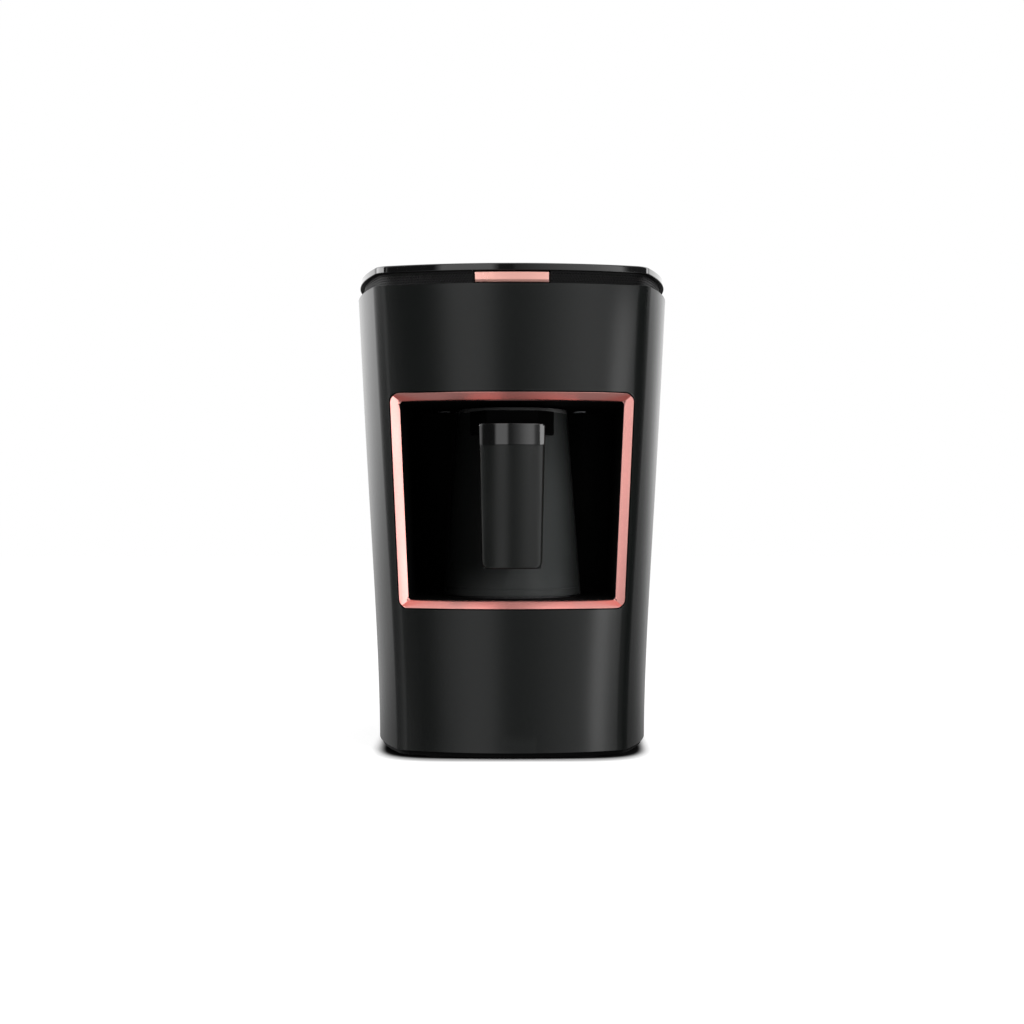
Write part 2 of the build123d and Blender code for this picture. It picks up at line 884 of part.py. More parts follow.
def paddle(front, back, inset=0.0, low=handle_low):
    """The handle's outline as a slab from front to back, above a level; the shell's front is bowed."""
    slope = (handle_half_high - handle_half_low) / (handle_high - handle_low)
    half_low = handle_half_low - inset + slope * (low - handle_low)
    half_high = handle_half_high - inset
    with BuildPart() as slab:
        with BuildSketch(Plane.XZ.offset(-front)) as face:
            with BuildLine():
                Polyline(
                    (-half_low, low),
                    (half_low, low),
                    (half_high, handle_high - inset),
                    (-half_high, handle_high - inset),
                    close=True,
                )
            make_face()
            corners = face.vertices().group_by(Axis.Y)
            fillet(corners[-1], handle_top_radius - inset)
            if low == handle_low:
                fillet(corners[0], handle_radius)
        extrude(amount=front - back)
        if front < shell_back:
            with Locations((0, handle_front + handle_bow, low)):
                Cylinder(
                    handle_bow - inset,
                    handle_high - low,
                    align=(Align.CENTER, Align.CENTER, Align.MIN),
                    mode=Mode.INTERSECT,
                )
    return slab.part


cap_low = handle_high - cap_height
with BuildPart() as handle_cap:
    add(paddle(handle_front, shell_back, low=cap_low))
    front_edges = handle_cap.faces().sort_by(Axis.Y)[0].edges().sort_by(Axis.Z)[1:]
    fillet(front_edges, handle_edge)
    add(paddle(handle_front + cap_wall, shell_back, cap_wall, cap_low), mode=Mode.SUBTRACT)
write(handle_cap, "handle_cap")

cap_core = cap_wall + cap_play
with BuildPart() as handle_grip:
    add(paddle(handle_front, shell_back))
    fillet(handle_grip.faces().sort_by(Axis.Y)[0].edges(), handle_edge)
    with BuildSketch(Plane.XZ.offset(-handle_front)):
        with Locations((0, cap_low - cap_play)):
            Rectangle(reach, reach, align=(Align.CENTER, Align.MIN))
    extrude(amount=-handle_shell, mode=Mode.SUBTRACT)
    add(paddle(handle_front + cap_core, shell_back, cap_core, cap_low - cap_play))
    with BuildSketch(Plane.XZ.offset(-shell_back)):
        with Locations(*handle_screw_places):
            Circle(screw_radius + screw_play)
    extrude(amount=handle_bite, mode=Mode.SUBTRACT)
write(handle_grip, "handle_grip")

with BuildPart() as handle_back:
    add(paddle(shell_back, handle_rear))
    fillet(handle_back.faces().sort_by(Axis.Y)[-1].edges(), handle_edge)
    with BuildSketch(Plane.XZ.offset(-handle_rear)):
        with Locations(*handle_screw_places):
            Circle(screw_head_radius + screw_play)
    extrude(amount=screw_head + screw_play, mode=Mode.SUBTRACT)
    with BuildSketch(Plane.XZ.offset(-handle_rear)):
        with Locations(*handle_screw_places):
            Circle(screw_radius + screw_play)
    extrude(amount=handle_back_thick, mode=Mode.SUBTRACT)
write(handle_back, "handle_back")
handle_screw_length = handle_back_thick - screw_head + handle_bite - fit
write(
    screws(
        Plane.XZ.offset(-handle_rear + screw_play),
        handle_screw_places,
        handle_screw_length,
    ),
    "handle_screws",
)

with BuildPart() as handle_bridge:
    with BuildSketch(Plane.XY.offset(bridge_low)):
        with BuildLine():
            Polyline(
                (bridge_neck, handle_rear),
                (bridge_half, bridge_flare_y),
                (bridge_half, pot_y - bridge_bite),
                (-bridge_half, pot_y - bridge_bite),
                (-bridge_half, bridge_flare_y),
                (-bridge_neck, handle_rear),
                close=True,
            )
        make_face()
    extrude(amount=bridge_high - bridge_low)
    add(
        turned(
            [
                (0, bridge_low),
                (pot_radius(bridge_low), bridge_low),
                (pot_radius(bridge_high), bridge_high),
                (0, bridge_high),
            ]
        ),
        mode=Mode.SUBTRACT,
    )
write(handle_bridge, "handle_bridge")

# Base: a tray with feet, vents, and posts for the board, the cord clamp and the screws.
board_back = board_depth / 2 - board_forward
board_places = [
    (x, y - board_forward)
    for x, y in four(board_half - board_post_inset, board_depth / 2 - board_post_inset)
]
gland_rear = -front_face(0, inlet_height) + gland_out
gland_length = gland_out + shell_wall + gland_in
gland_inner = gland_rear - gland_length
clamp_y = gland_inner - clamp_space
block_y = clamp_y - block_space
clamp_places = [(-clamp_screw_x, clamp_y), (clamp_screw_x, clamp_y)]
saddle_top = inlet_height - clamp_split
foot_places = four(lower_x - screw_head_radius - foot_clear - foot_radius, lower_y)
base_gap = taper(shell_bottom) + base_inset
tray_gap = taper(shell_bottom) + shell_wall + fit
base_screw_length = boss_low + screw_bite - fit - base_low - screw_head
with BuildPart() as base_cover:
    with BuildSketch(Plane.XY.offset(base_low)):
        add(casing_plan(base_low, base_gap))
    extrude(amount=tray_low - base_low)
    with BuildSketch(Plane.XY.offset(tray_low)):
        add(casing_plan(tray_low, tray_gap))
    extrude(amount=rim_height)
    with BuildSketch(Plane.XY.offset(tray_top)):
        add(casing_plan(tray_top, tray_gap + rim_wall))
    extrude(amount=reach, mode=Mode.SUBTRACT)
    add(discs(lower_places, boss_radius + rim_wall, tray_top, reach), mode=Mode.SUBTRACT)
    add(discs(foot_places, foot_radius, base_low, foot_recess), mode=Mode.SUBTRACT)
    add(discs(lower_places, screw_head_radius + screw_play, base_low, screw_head), mode=Mode.SUBTRACT)
    add(discs(lower_places, screw_radius + screw_play, base_low, reach), mode=Mode.SUBTRACT)
    with BuildSketch(Plane.XY.offset(base_low)):
        with GridLocations(slot_pitch, 0, slot_count, 1):
            SlotOverall(slot_length, slot_width, rotation=90)
    extrude(amount=tray_top - base_low, mode=Mode.SUBTRACT)
    add(discs(board_places, board_post_radius, tray_top, board_post))
    add(discs(board_places, screw_radius + screw_play, tray_top, board_post), mode=Mode.SUBTRACT)
    saddle_size = (2 * clamp_half, clamp_depth)
    add(block((0, clamp_y), saddle_size, tray_top, saddle_top - tray_top))
    add(discs(clamp_places, screw_radius + screw_play, tray_top, reach), mode=Mode.SUBTRACT)
    with BuildSketch(Plane.XZ):
        with Locations((0, inlet_height)):
            Circle(cord_radius)
    extrude(amount=-reach, mode=Mode.SUBTRACT)
write(base_cover, "base_cover")
write(screws(Plane.XY.offset(base_low), lower_places, base_screw_length), "base_screws")

with BuildPart() as rubber_feet:
    add(discs(foot_places, foot_radius - screw_play, 0, base_low + foot_recess))
write(rubber_feet, "rubber_feet")

# Cord inlet: a gland through the rear wall and a clamp on the tray.
with BuildPart() as gland_stock:
    with BuildSketch(Plane.XZ.offset(-gland_inner)):
        with Locations((0, inlet_height)):
            Circle(gland_flange)
    extrude(amount=-gland_length)
    add(outer_form, mode=Mode.SUBTRACT)

with BuildPart() as cord_gland:
    with BuildSketch(Plane.XZ.offset(-gland_inner)):
        with Locations((0, inlet_height)):
            Circle(gland_radius)
    extrude(amount=-gland_length)
    add(gland_stock.part)
    with BuildSketch(Plane.XZ.offset(-gland_inner)):
        with Locations((0, inlet_height)):
            Circle(cord_radius)
    extrude(amount=-gland_length, mode=Mode.SUBTRACT)
write(cord_gland, "cord_gland")

with BuildPart() as cord_clamp:
    add(block((0, clamp_y), saddle_size, saddle_top + 2 * clamp_split, clamp_thick))
    add(discs(clamp_places, screw_radius + screw_play, tray_top, reach), mode=Mode.SUBTRACT)
    with BuildSketch(Plane.XZ):
        with Locations((0, inlet_height)):
            Circle(cord_radius)
    extrude(amount=-reach, mode=Mode.SUBTRACT)
write(cord_clamp, "cord_clamp")
clamp_screw_top = saddle_top + 2 * clamp_split + clamp_thick + screw_head
write(screws(Plane.XY.offset(clamp_screw_top), clamp_places, clamp_bite, -1), "clamp_screws")

terminal_xs = [
    block_pitch * (index - (block_terminals - 1) / 2) for index in range(block_terminals)
]
with BuildPart() as terminal_block:
    add(block((0, block_y), (block_width, block_depth), tray_top, block_height))
    block_holes = [(x, block_y) for x in terminal_xs]
    add(discs(block_holes, block_hole, tray_top + block_height / 2, reach), mode=Mode.SUBTRACT)
write(terminal_block, "terminal_block")

# Control board with its components.
board_part_front = board_part_back - board_part_pitch
with BuildPart() as control_board:
    add(block((0, -board_forward), (2 * board_half, board_depth), board_low, board_thick))
    add(discs(board_places, screw_radius + screw_play, board_low, reach), mode=Mode.SUBTRACT)
write(control_board, "control_board")
write(screws(Plane.XY.offset(board_top + screw_head), board_places, screw_bite, -1), "board_screws")

with BuildPart() as power_relay:
    add(block((-board_part_x, board_part_front), (relay_width, relay_depth), board_top, relay_height))
    fillet(power_relay.edges().group_by(Axis.Z)[-1], part_round)
write(power_relay, "power_relay")

with BuildPart() as supply_coil:
    add(block((board_part_x, board_part_front), (coil_width, coil_core_width), board_top, coil_height))
    with BuildSketch(Plane.XY.offset(board_top + part_round)):
        with Locations((board_part_x, board_part_front)):
            RectangleRounded(coil_width - 2 * coil_leg, coil_depth, coil_leg)
    extrude(amount=coil_height - 2 * part_round)
write(supply_coil, "supply_coil")

with BuildPart() as smoothing_capacitor:
    capacitor_place = [(board_part_x, board_part_back)]
    add(discs(capacitor_place, capacitor_radius, board_top, capacitor_height))
    fillet(smoothing_capacitor.edges().group_by(Axis.Z)[-1], part_round)
write(smoothing_capacitor, "smoothing_capacitor")

with BuildPart() as buzzer:
    buzzer_place = [(-board_part_x, board_part_back)]
    add(discs(buzzer_place, buzzer_radius, board_top, buzzer_height))
    add(discs(buzzer_place, buzzer_hole, board_top + buzzer_height / 2, reach), mode=Mode.SUBTRACT)
write(buzzer, "buzzer")

socket_y = board_back - socket_depth / 2 - part_round
with BuildPart() as ribbon_socket:
    add(block((0, socket_y), (socket_width, socket_depth), board_top, socket_height))
write(ribbon_socket, "ribbon_socket")

# Leads: a ribbon behind the chamber, and the wires of the heating element and the switch.
ribbon_top = hood_top + board_thick
ribbon_end = pot_y + sensor_board_y / 2 - socket_depth
with BuildPart() as ribbon_lead:
    with BuildLine() as ribbon_route:
        FilletPolyline(
            (0, socket_y, board_top + socket_height),
            (0, socket_y, ribbon_low),
            (0, ribbon_back, ribbon_low),
            (0, ribbon_back, ribbon_top + ribbon_rise),
            (0, ribbon_end, ribbon_top + ribbon_rise),
            (0, ribbon_end, ribbon_top),
            radius=ribbon_bend,
        )
    with BuildSketch(Plane(ribbon_route.line @ 0, x_dir=(1, 0, 0), z_dir=(0, 0, 1))):
        Rectangle(ribbon_width, ribbon_thick)
    sweep(path=ribbon_route.line)
write(ribbon_lead, "ribbon_lead")


def lead(points, radius):
    """A round wire that follows straight runs and tangent arcs."""
    with BuildPart() as wire:
        with BuildLine() as route:
            FilletPolyline(*points, radius=radius)
        with BuildSketch(Plane(route.line @ 0, z_dir=route.line % 0)):
            Circle(lead_radius)
        sweep(path=route.line)
    return wire.part


terminal_low = strap_top - terminal_length
block_top = tray_top + block_height
with BuildPart() as heater_leads:
    for (x, y), end in zip(terminal_places, (terminal_xs[0], terminal_xs[-1])):
        route_points = [
            (x, y, terminal_low),
            (x, y, terminal_low - lead_drop),
            (end, block_y, block_top + lead_drop),
            (end, block_y, block_top),
        ]
        add(lead(route_points, lead_bend))
write(heater_leads, "heater_leads")

switch_back = switch_front + switch_depth
lead_level = deck_top + lead_radius
with BuildPart() as switch_leads:
    for side in (-1, 1):
        near = side * switch_lead_x
        far = side * lead_spread
        route_points = [
            (near, switch_back, lead_level),
            (near, switch_back + lead_run, lead_level),
            (far, switch_back + 2 * lead_run, lead_level),
            (far, lamp_y, lead_level),
            (far, lamp_y, ceiling_top + lamp_collar + board_thick),
        ]
        add(lead(route_points, switch_lead_bend))
write(switch_leads, "switch_leads")
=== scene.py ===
from bisect import bisect_left
from math import atan2, cos, hypot, pi, radians, sin, sqrt, tan

import bmesh
import bpy
from mathutils import Matrix, Vector


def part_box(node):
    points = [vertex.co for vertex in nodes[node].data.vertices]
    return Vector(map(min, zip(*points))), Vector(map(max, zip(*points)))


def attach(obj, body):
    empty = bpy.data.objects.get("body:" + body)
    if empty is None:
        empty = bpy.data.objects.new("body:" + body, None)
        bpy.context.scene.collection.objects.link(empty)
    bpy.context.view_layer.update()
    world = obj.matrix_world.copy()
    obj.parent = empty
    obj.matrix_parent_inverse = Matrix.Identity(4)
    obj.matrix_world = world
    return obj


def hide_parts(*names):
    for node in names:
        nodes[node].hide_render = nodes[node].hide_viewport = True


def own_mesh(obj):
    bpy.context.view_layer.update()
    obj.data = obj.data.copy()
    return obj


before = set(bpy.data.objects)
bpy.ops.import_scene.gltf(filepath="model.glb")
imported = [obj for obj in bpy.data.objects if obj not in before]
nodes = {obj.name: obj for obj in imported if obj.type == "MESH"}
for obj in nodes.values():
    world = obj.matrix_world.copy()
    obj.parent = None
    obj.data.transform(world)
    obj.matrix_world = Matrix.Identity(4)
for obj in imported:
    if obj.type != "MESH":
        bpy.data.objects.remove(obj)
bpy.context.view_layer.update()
mm = 0.001


def boxOf(node):
    # lowest and highest corner of a CAD node, in millimetres
    low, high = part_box(node)
    return low / mm, high / mm


print("frame loaded:", len(nodes), "nodes")


# Materials. The groups put out masks, colours and heights, and the shaders stay in each material.


def addNode(tree, kind, inputs=None, **settings):
    # a shader node whose inputs are plain values or the outputs of other nodes
    node = tree.nodes.new("ShaderNode" + kind)
    for key, value in settings.items():
        setattr(node, key, value)
    for key, value in (inputs or {}).items():
        if isinstance(value, bpy.types.NodeSocket):
            tree.links.new(value, node.inputs[key])
        else:
            node.inputs[key].default_value = value
    return node


def calculate(tree, operation, *values):
    return addNode(tree, "Math", dict(enumerate(values)), operation=operation).outputs[0]


def mapRange(tree, value, start=0.0, end=1.0, low=0.0, high=1.0, curve="LINEAR"):
    # the span from start to end becomes the span from low to high
    spans = {"Value": value, "From Min": start, "From Max": end, "To Min": low, "To Max": high}
    return addNode(tree, "MapRange", spans, interpolation_type=curve).outputs["Result"]


def mixColours(tree, share, under, over):
    return addNode(tree, "Mix", {"Factor": share, 6: under, 7: over}, data_type="RGBA").outputs[2]


def noise(tree, place, size, detail):
    return addNode(tree, "TexNoise", {"Vector": place, "Scale": size, "Detail": detail}).outputs["Fac"]


def objectPlace(tree):
    return addNode(tree, "TexCoord").outputs["Object"]


def newGroup(name, inputs, outputs):
    # an empty group; an input with a tuple and an output called Color hold colours
    group = bpy.data.node_groups.new(name, "ShaderNodeTree")
    for label, value in inputs.items():
        kind = "NodeSocketColor" if isinstance(value, tuple) else "NodeSocketFloat"
        group.interface.new_socket(label, in_out="INPUT", socket_type=kind).default_value = value
    for label in outputs:
        kind = "NodeSocketColor" if label == "Color" else "NodeSocketFloat"
        group.interface.new_socket(label, in_out="OUTPUT", socket_type=kind)
    return group, group.nodes.new("NodeGroupInput").outputs, group.nodes.new("NodeGroupOutput").inputs


def toneDriftGroup():
    # a colour that wanders a little over the surface, and a mask for its roughness
    inputs = {"Base": (0.5, 0.5, 0.5, 1), "Other": (0.4, 0.4, 0.4, 1), "Size": 30.0, "Amount": 0.3}
    group, source, sink = newGroup("toneDrift", inputs, ["Color", "Mask"])
    wide = noise(group, objectPlace(group), source["Size"], detail=4.0)
    spread = mapRange(group, wide, start=0.3, end=0.7)
    share = calculate(group, "MULTIPLY", spread, source["Amount"])
    group.links.new(mixColours(group, share, source["Base"], source["Other"]), sink["Color"])
    group.links.new(spread, sink["Mask"])
    return group


def mouldGrainGroup():
    # the fine spark-eroded texture of a satin moulding, as a height
    group, source, sink = newGroup("mouldGrain", {"Size": 1500.0, "Depth": 0.5}, ["Height"])
    place = objectPlace(group)
    speck = noise(group, place, source["Size"], detail=2.0)
    pits = addNode(group, "TexVoronoi", {"Vector": place, "Scale": source["Size"]})
    both = calculate(group, "ADD", speck, pits.outputs["Distance"])
    group.links.new(calculate(group, "MULTIPLY", both, source["Depth"]), sink["Height"])
    return group


def rubbedEdgeGroup():
    # where hands and cloths rub: convex edges, broken up by a soft noise
    group, source, sink = newGroup("rubbedEdge", {"Reach": 0.56, "Size": 120.0}, ["Mask"])
    pointed = addNode(group, "NewGeometry").outputs["Pointiness"]
    edge = mapRange(group, pointed, start=0.51, end=source["Reach"])
    breakUp = noise(group, objectPlace(group), source["Size"], detail=3.0)
    group.links.new(calculate(group, "MULTIPLY", edge, breakUp), sink["Mask"])
    return group


def brushedLinesGroup():
    # long fine lines round the object's upright axis
    group, source, sink = newGroup("brushedLines", {"Fineness": 900.0}, ["Height"])
    stretch = addNode(group, "Mapping", {"Vector": objectPlace(group), "Scale": (0.02, 0.02, 1.0)})
    group.links.new(noise(group, stretch.outputs["Vector"], source["Fineness"], detail=3.0), sink["Height"])
    return group


toneDrift = toneDriftGroup()
mouldGrain = mouldGrainGroup()
rubbedEdge = rubbedEdgeGroup()
brushedLines = brushedLinesGroup()

surface = {
    "otherShare": 0.75, "wornGain": 2.2, "wornLift": 0.02, "lineHeight": 0.00004,
    "grainHeight": 0.00003, "trackHeight": 0.00005, "trackStrength": 0.3,
}
plainSockets = {
    "ior": "IOR",
    "metallic": "Metallic",
    "specular": "Specular IOR Level",
    "coat": "Coat Weight",
    "coatRoughness": "Coat Roughness",
}


def useGroup(tree, group, **inputs):
    return addNode(tree, "Group", inputs, node_tree=group).outputs


def newMaterial(name):
    # the material, its tree and its shader's inputs
    material = bpy.data.materials.new(name)
    material.use_nodes = True
    return material, material.node_tree, material.node_tree.nodes["Principled BSDF"].inputs


def raiseSurface(tree, shader, height, strength, distance):
    bump = addNode(tree, "Bump", {"Height": height, "Strength": strength, "Distance": distance})
    tree.links.new(bump.outputs["Normal"], shader["Normal"])


def makeFinish(
    name, colour, other=None, roughness=(0.35, 0.45), driftSize=25.0, drift=0.35,
    grainSize=1500.0, grain=0.1, lines=0.0, wear=0.0, **plain
):
    # one finish: drifting colour and roughness, a fine grain or lines, and edges rubbed a little lighter
    material, tree, shader = newMaterial(name)
    for key, value in plain.items():
        shader[plainSockets[key]].default_value = value
    other = other or tuple(surface["otherShare"] * part for part in colour)
    tones = useGroup(tree, toneDrift, Base=(*colour, 1), Other=(*other, 1), Size=driftSize, Amount=drift)
    tree.links.new(mapRange(tree, tones["Mask"], low=roughness[0], high=roughness[1]), shader["Roughness"])
    finalColour = tones["Color"]
    if wear:
        share = calculate(tree, "MULTIPLY", useGroup(tree, rubbedEdge)["Mask"], wear)
        lighter = tuple(min(1.0, part * surface["wornGain"] + surface["wornLift"]) for part in colour)
        finalColour = mixColours(tree, share, finalColour, (*lighter, 1))
    tree.links.new(finalColour, shader["Base Color"])
    if lines:
        height = useGroup(tree, brushedLines)["Height"]
        raiseSurface(tree, shader, height, lines, surface["lineHeight"])
    else:
        height = useGroup(tree, mouldGrain, Size=grainSize, Depth=1.0)["Height"]
        raiseSurface(tree, shader, height, grain, surface["grainHeight"])
    return material


# Colours are linear. Each row holds a colour and what differs from the usual moulding.
finishes = {
    "satinCasing": dict(
        colour=(0.0022, 0.0028, 0.0026), other=(0.0017, 0.0023, 0.0021), roughness=(0.20, 0.23),
        driftSize=9.0, grain=0.02, wear=0.25, ior=1.5,
    ),
    "glossPlate": dict(
        colour=(0.0040, 0.0040, 0.0042), roughness=(0.04, 0.08), driftSize=14.0, grain=0.004,
        grainSize=400.0, ior=1.5, coat=0.5, coatRoughness=0.03,
    ),
    "ventBlack": dict(colour=(0.0026, 0.0026, 0.0027), roughness=(0.5, 0.65), grain=0.12, specular=0.3),
    "roseFrame": dict(
        colour=(0.97, 0.44, 0.40), other=(0.94, 0.41, 0.37), roughness=(0.15, 0.19), driftSize=18.0,
        grain=0.01, wear=0.15, metallic=1.0,
    ),
    "roseButton": dict(
        colour=(0.97, 0.50, 0.43), other=(0.94, 0.47, 0.40), roughness=(0.26, 0.32), driftSize=40.0,
        grain=0.02, wear=0.15, metallic=0.65,
    ),
    "chamberBlack": dict(
        colour=(0.0012, 0.0012, 0.0012), roughness=(0.6, 0.75), grain=0.15, specular=0.15
    ),
    "potCharcoal": dict(
        colour=(0.0150, 0.0159, 0.0157), roughness=(0.38, 0.44), driftSize=20.0, grain=0.04,
        wear=0.2, specular=0.08,
    ),
    "bridgeBlack": dict(colour=(0.0006, 0.0006, 0.0006), roughness=(0.6, 0.7), grain=0.05, specular=0.04),
    "potTrim": dict(colour=(0.055, 0.055, 0.055), roughness=(0.22, 0.3), grain=0.03, wear=0.2),
    "potSteel": dict(colour=(0.56, 0.55, 0.53), roughness=(0.24, 0.34), lines=0.25, metallic=1.0),
    "capGloss": dict(
        colour=(0.0032, 0.0034, 0.0034), roughness=(0.07, 0.10), driftSize=60.0, grain=0.006,
        grainSize=500.0, ior=1.75, coat=0.6, coatRoughness=0.05,
    ),
    "gripCharcoal": dict(
        colour=(0.0028, 0.0034, 0.0031), roughness=(0.23, 0.27), driftSize=30.0, grain=0.03,
        wear=0.2, specular=0.44,
    ),
    "innerBlack": dict(colour=(0.0008, 0.0008, 0.0008), roughness=(0.6, 0.75), grain=0.15, specular=0.08),
    "sealRubber": dict(colour=(0.012, 0.012, 0.012), roughness=(0.6, 0.75), grain=0.2),
    "footRubber": dict(colour=(0.0030, 0.0030, 0.0030), roughness=(0.75, 0.9), grain=0.25, specular=0.2),
    "plateCoat": dict(
        colour=(0.045, 0.045, 0.047), roughness=(0.4, 0.5), grain=0.08, wear=0.6, metallic=0.6
    ),
    "elementSteel": dict(colour=(0.30, 0.28, 0.26), roughness=(0.4, 0.55), drift=0.6, metallic=1.0),
    "plainSteel": dict(colour=(0.52, 0.52, 0.51), roughness=(0.3, 0.42), lines=0.2, metallic=1.0),
    "screwZinc": dict(colour=(0.50, 0.50, 0.49), roughness=(0.28, 0.4), wear=0.3, metallic=1.0),
    "springWire": dict(colour=(0.44, 0.44, 0.43), roughness=(0.25, 0.35), lines=0.15, metallic=1.0),
    "partWhite": dict(colour=(0.70, 0.69, 0.64), other=(0.62, 0.60, 0.54), roughness=(0.4, 0.5)),
    "partBlack": dict(colour=(0.014, 0.014, 0.014), roughness=(0.4, 0.55), wear=0.2),
    "partRed": dict(colour=(0.45, 0.035, 0.025), roughness=(0.35, 0.45)),
    "partBlue": dict(colour=(0.025, 0.09, 0.32), roughness=(0.25, 0.35), wear=0.2),
    "partYellow": dict(
        colour=(0.58, 0.43, 0.07), other=(0.50, 0.35, 0.05), roughness=(0.3, 0.45), lines=0.4
    ),
    "partDark": dict(colour=(0.035, 0.04, 0.08), roughness=(0.2, 0.3)),
    "lensDark": dict(colour=(0.020, 0.006, 0.010), roughness=(0.04, 0.08), grain=0.004, coat=0.5),
    "lampGrey": dict(colour=(0.22, 0.23, 0.24), roughness=(0.15, 0.25), grain=0.05, coat=0.3),
    "leadGrey": dict(colour=(0.28, 0.28, 0.29), roughness=(0.45, 0.55)),
    "leadRed": dict(colour=(0.42, 0.035, 0.025), roughness=(0.45, 0.55)),
}
materials = {name: makeFinish(name, **look) for name, look in finishes.items()}

board = {
    "Color1": (0.020, 0.150, 0.055, 1),
    "Color2": (0.016, 0.120, 0.045, 1),
    "Mortar": (0.050, 0.240, 0.090, 1),
    "Scale": 160.0,
    "Mortar Size": 0.04,
}


def makeBoardGreen():
    # a circuit board: green mask with copper tracks under it in a square grid
    material, tree, shader = newMaterial("boardGreen")
    cells = addNode(tree, "TexBrick", {"Vector": objectPlace(tree), **board}).outputs
    other = (0.012, 0.09, 0.035, 1)
    tones = useGroup(tree, toneDrift, Base=cells["Color"], Other=other, Size=60.0, Amount=0.3)
    tree.links.new(tones["Color"], shader["Base Color"])
    tree.links.new(mapRange(tree, tones["Mask"], low=0.25, high=0.4), shader["Roughness"])
    raiseSurface(tree, shader, cells["Fac"], surface["trackStrength"], surface["trackHeight"])
    return material


materials["boardGreen"] = makeBoardGreen()
print("materials made:", len(materials))


# Mesh helpers. Points are in millimetres and become metres in the mesh.


def newObject(name, data):
    made = bpy.data.objects.new(name, data)
    bpy.context.scene.collection.objects.link(made)
    return made


def newMesh(name, points, faces):
    mesh = bpy.data.meshes.new(name)
    mesh.from_pydata([[part * mm for part in point] for point in points], [], faces)
    return mesh


def cleanMesh(mesh, sheet=False):
    # drops loose points, joins those that meet and turns the faces outward; an open sheet has no
    # inside to tell, so there the face furthest to the right decides
    work = bmesh.new()
    work.from_mesh(mesh)
    loose = [vert for vert in work.verts if not vert.link_faces]
    bmesh.ops.delete(work, geom=loose, context="VERTS")
    bmesh.ops.remove_doubles(work, verts=work.verts, dist=1e-7)
    bmesh.ops.recalc_face_normals(work, faces=work.faces)
    if sheet and max(work.faces, key=lambda face: face.calc_center_median().x).normal.x < 0:
        bmesh.ops.reverse_faces(work, faces=work.faces)
    work.to_mesh(mesh)
    work.free()


def markEdges(mesh, sharp):
    # shades the mesh smooth, apart from edges that turn by more than this angle
    work = bmesh.new()
    work.from_mesh(mesh)
    for face in work.faces:
        face.smooth = True
    for edge in work.edges:
        if len(edge.link_faces) == 2:
            edge.smooth = edge.calc_face_angle(0) < radians(sharp)
    work.to_mesh(mesh)
    work.free()


def roundEdges(piece, width, steps, sharp):
    edges = piece.modifiers.new("edges", "BEVEL")
    edges.width = width * mm
    edges.segments = steps
    edges.limit_method = "ANGLE"
    edges.angle_limit = radians(sharp)
    return edges


def settle(piece, finish, body, stands, sharp):
    # applies the modifiers and hands the piece to its body, in place of the nodes it stands for
    markEdges(piece.data, sharp)
    weigh = piece.modifiers.new("weigh", "WEIGHTED_NORMAL")
    weigh.keep_sharp = True
    weigh.weight = 80
    bpy.context.view_layer.update()
    made = bpy.data.meshes.new_from_object(piece.evaluated_get(bpy.context.evaluated_depsgraph_get()))
    made.name = piece.name
    piece.modifiers.clear()
    piece.data = made
    made.materials.clear()
    made.materials.append(materials[finish])
    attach(piece, body)
    if stands:
        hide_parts(*stands)


def makePiece(name, shape, finish, body, stands, sharp=38, rounding=0.0):
    # a closed mesh from its points and faces, its edges rounded if asked
    mesh = newMesh(name, *shape)
    cleanMesh(mesh)
    piece = newObject(name, mesh)
    if rounding:
        roundEdges(piece, rounding, steps=2, sharp=sharp).miter_outer = "MITER_ARC"
    settle(piece, finish, body, stands, sharp)


def ringFaces(rings, closed=False):
    # quads between successive closed rings of points
    faces = []
    pairs = len(rings) if closed else len(rings) - 1
    for index in range(pairs):
        low, high = rings[index], rings[(index + 1) % len(rings)]
        for step in range(len(low)):
            after = (step + 1) % len(low)
            faces.append([low[step], low[after], high[after], high[step]])
    return faces


def stackRings(loops, caps=False, closed=False):
    # a surface through equally long loops of points, with caps or with the last joined to the first
    points, rings = [], []
    for loop in loops:
        rings.append(list(range(len(points), len(points) + len(loop))))
        points.extend(loop)
    faces = ringFaces(rings, closed)
    if caps:
        faces += [rings[0][::-1], rings[-1]]
    return points, faces


def quarterTurn(steps):
    # sine and cosine from 0 to 90 degrees
    angles = [pi / 2 * step / steps for step in range(steps + 1)]
    return [(sin(angle), cos(angle)) for angle in angles]


# The casing's plan: four bowed sides that meet in rounded corners, drawn in towards the bottom.

shellLow, shellHigh = boxOf("outer_shell")
casing = {
    # swell bends the taper; the window's patch reaches this many columns past the front's bow
    "halfWidth": round(shellHigh.x, 1), "halfDepth": round(shellHigh.y, 1), "low": shellLow.z,
    "high": shellHigh.z, "sideBow": 16.2, "frontBow": 13.8, "cornerRadius": 12.0, "taper": 12.2,
    "swell": 0.8, "wall": 2.4, "edgeRound": 0.45, "edgeSteps": 3, "frontSteps": 26,
    "cornerSteps": 12, "sideSteps": 22, "rows": 46, "patchReach": 6, "patchEase": 1.7,
    "cordRadius": 5.6, "cordRows": 7, "cordLoops": 8,
}
window = {
    "low": 81.4, "high": 199.0, "halfLow": 61.9, "halfHigh": 66.8, "radius": 5.3, "gap": 0.3,
    "arcSteps": 7, "loops": 12,
}


def taperAt(level):
    share = max(casing["high"] - level, 0.0) / (casing["high"] - casing["low"])
    return casing["taper"] * (share + casing["swell"] * share**3 * (1 - share))


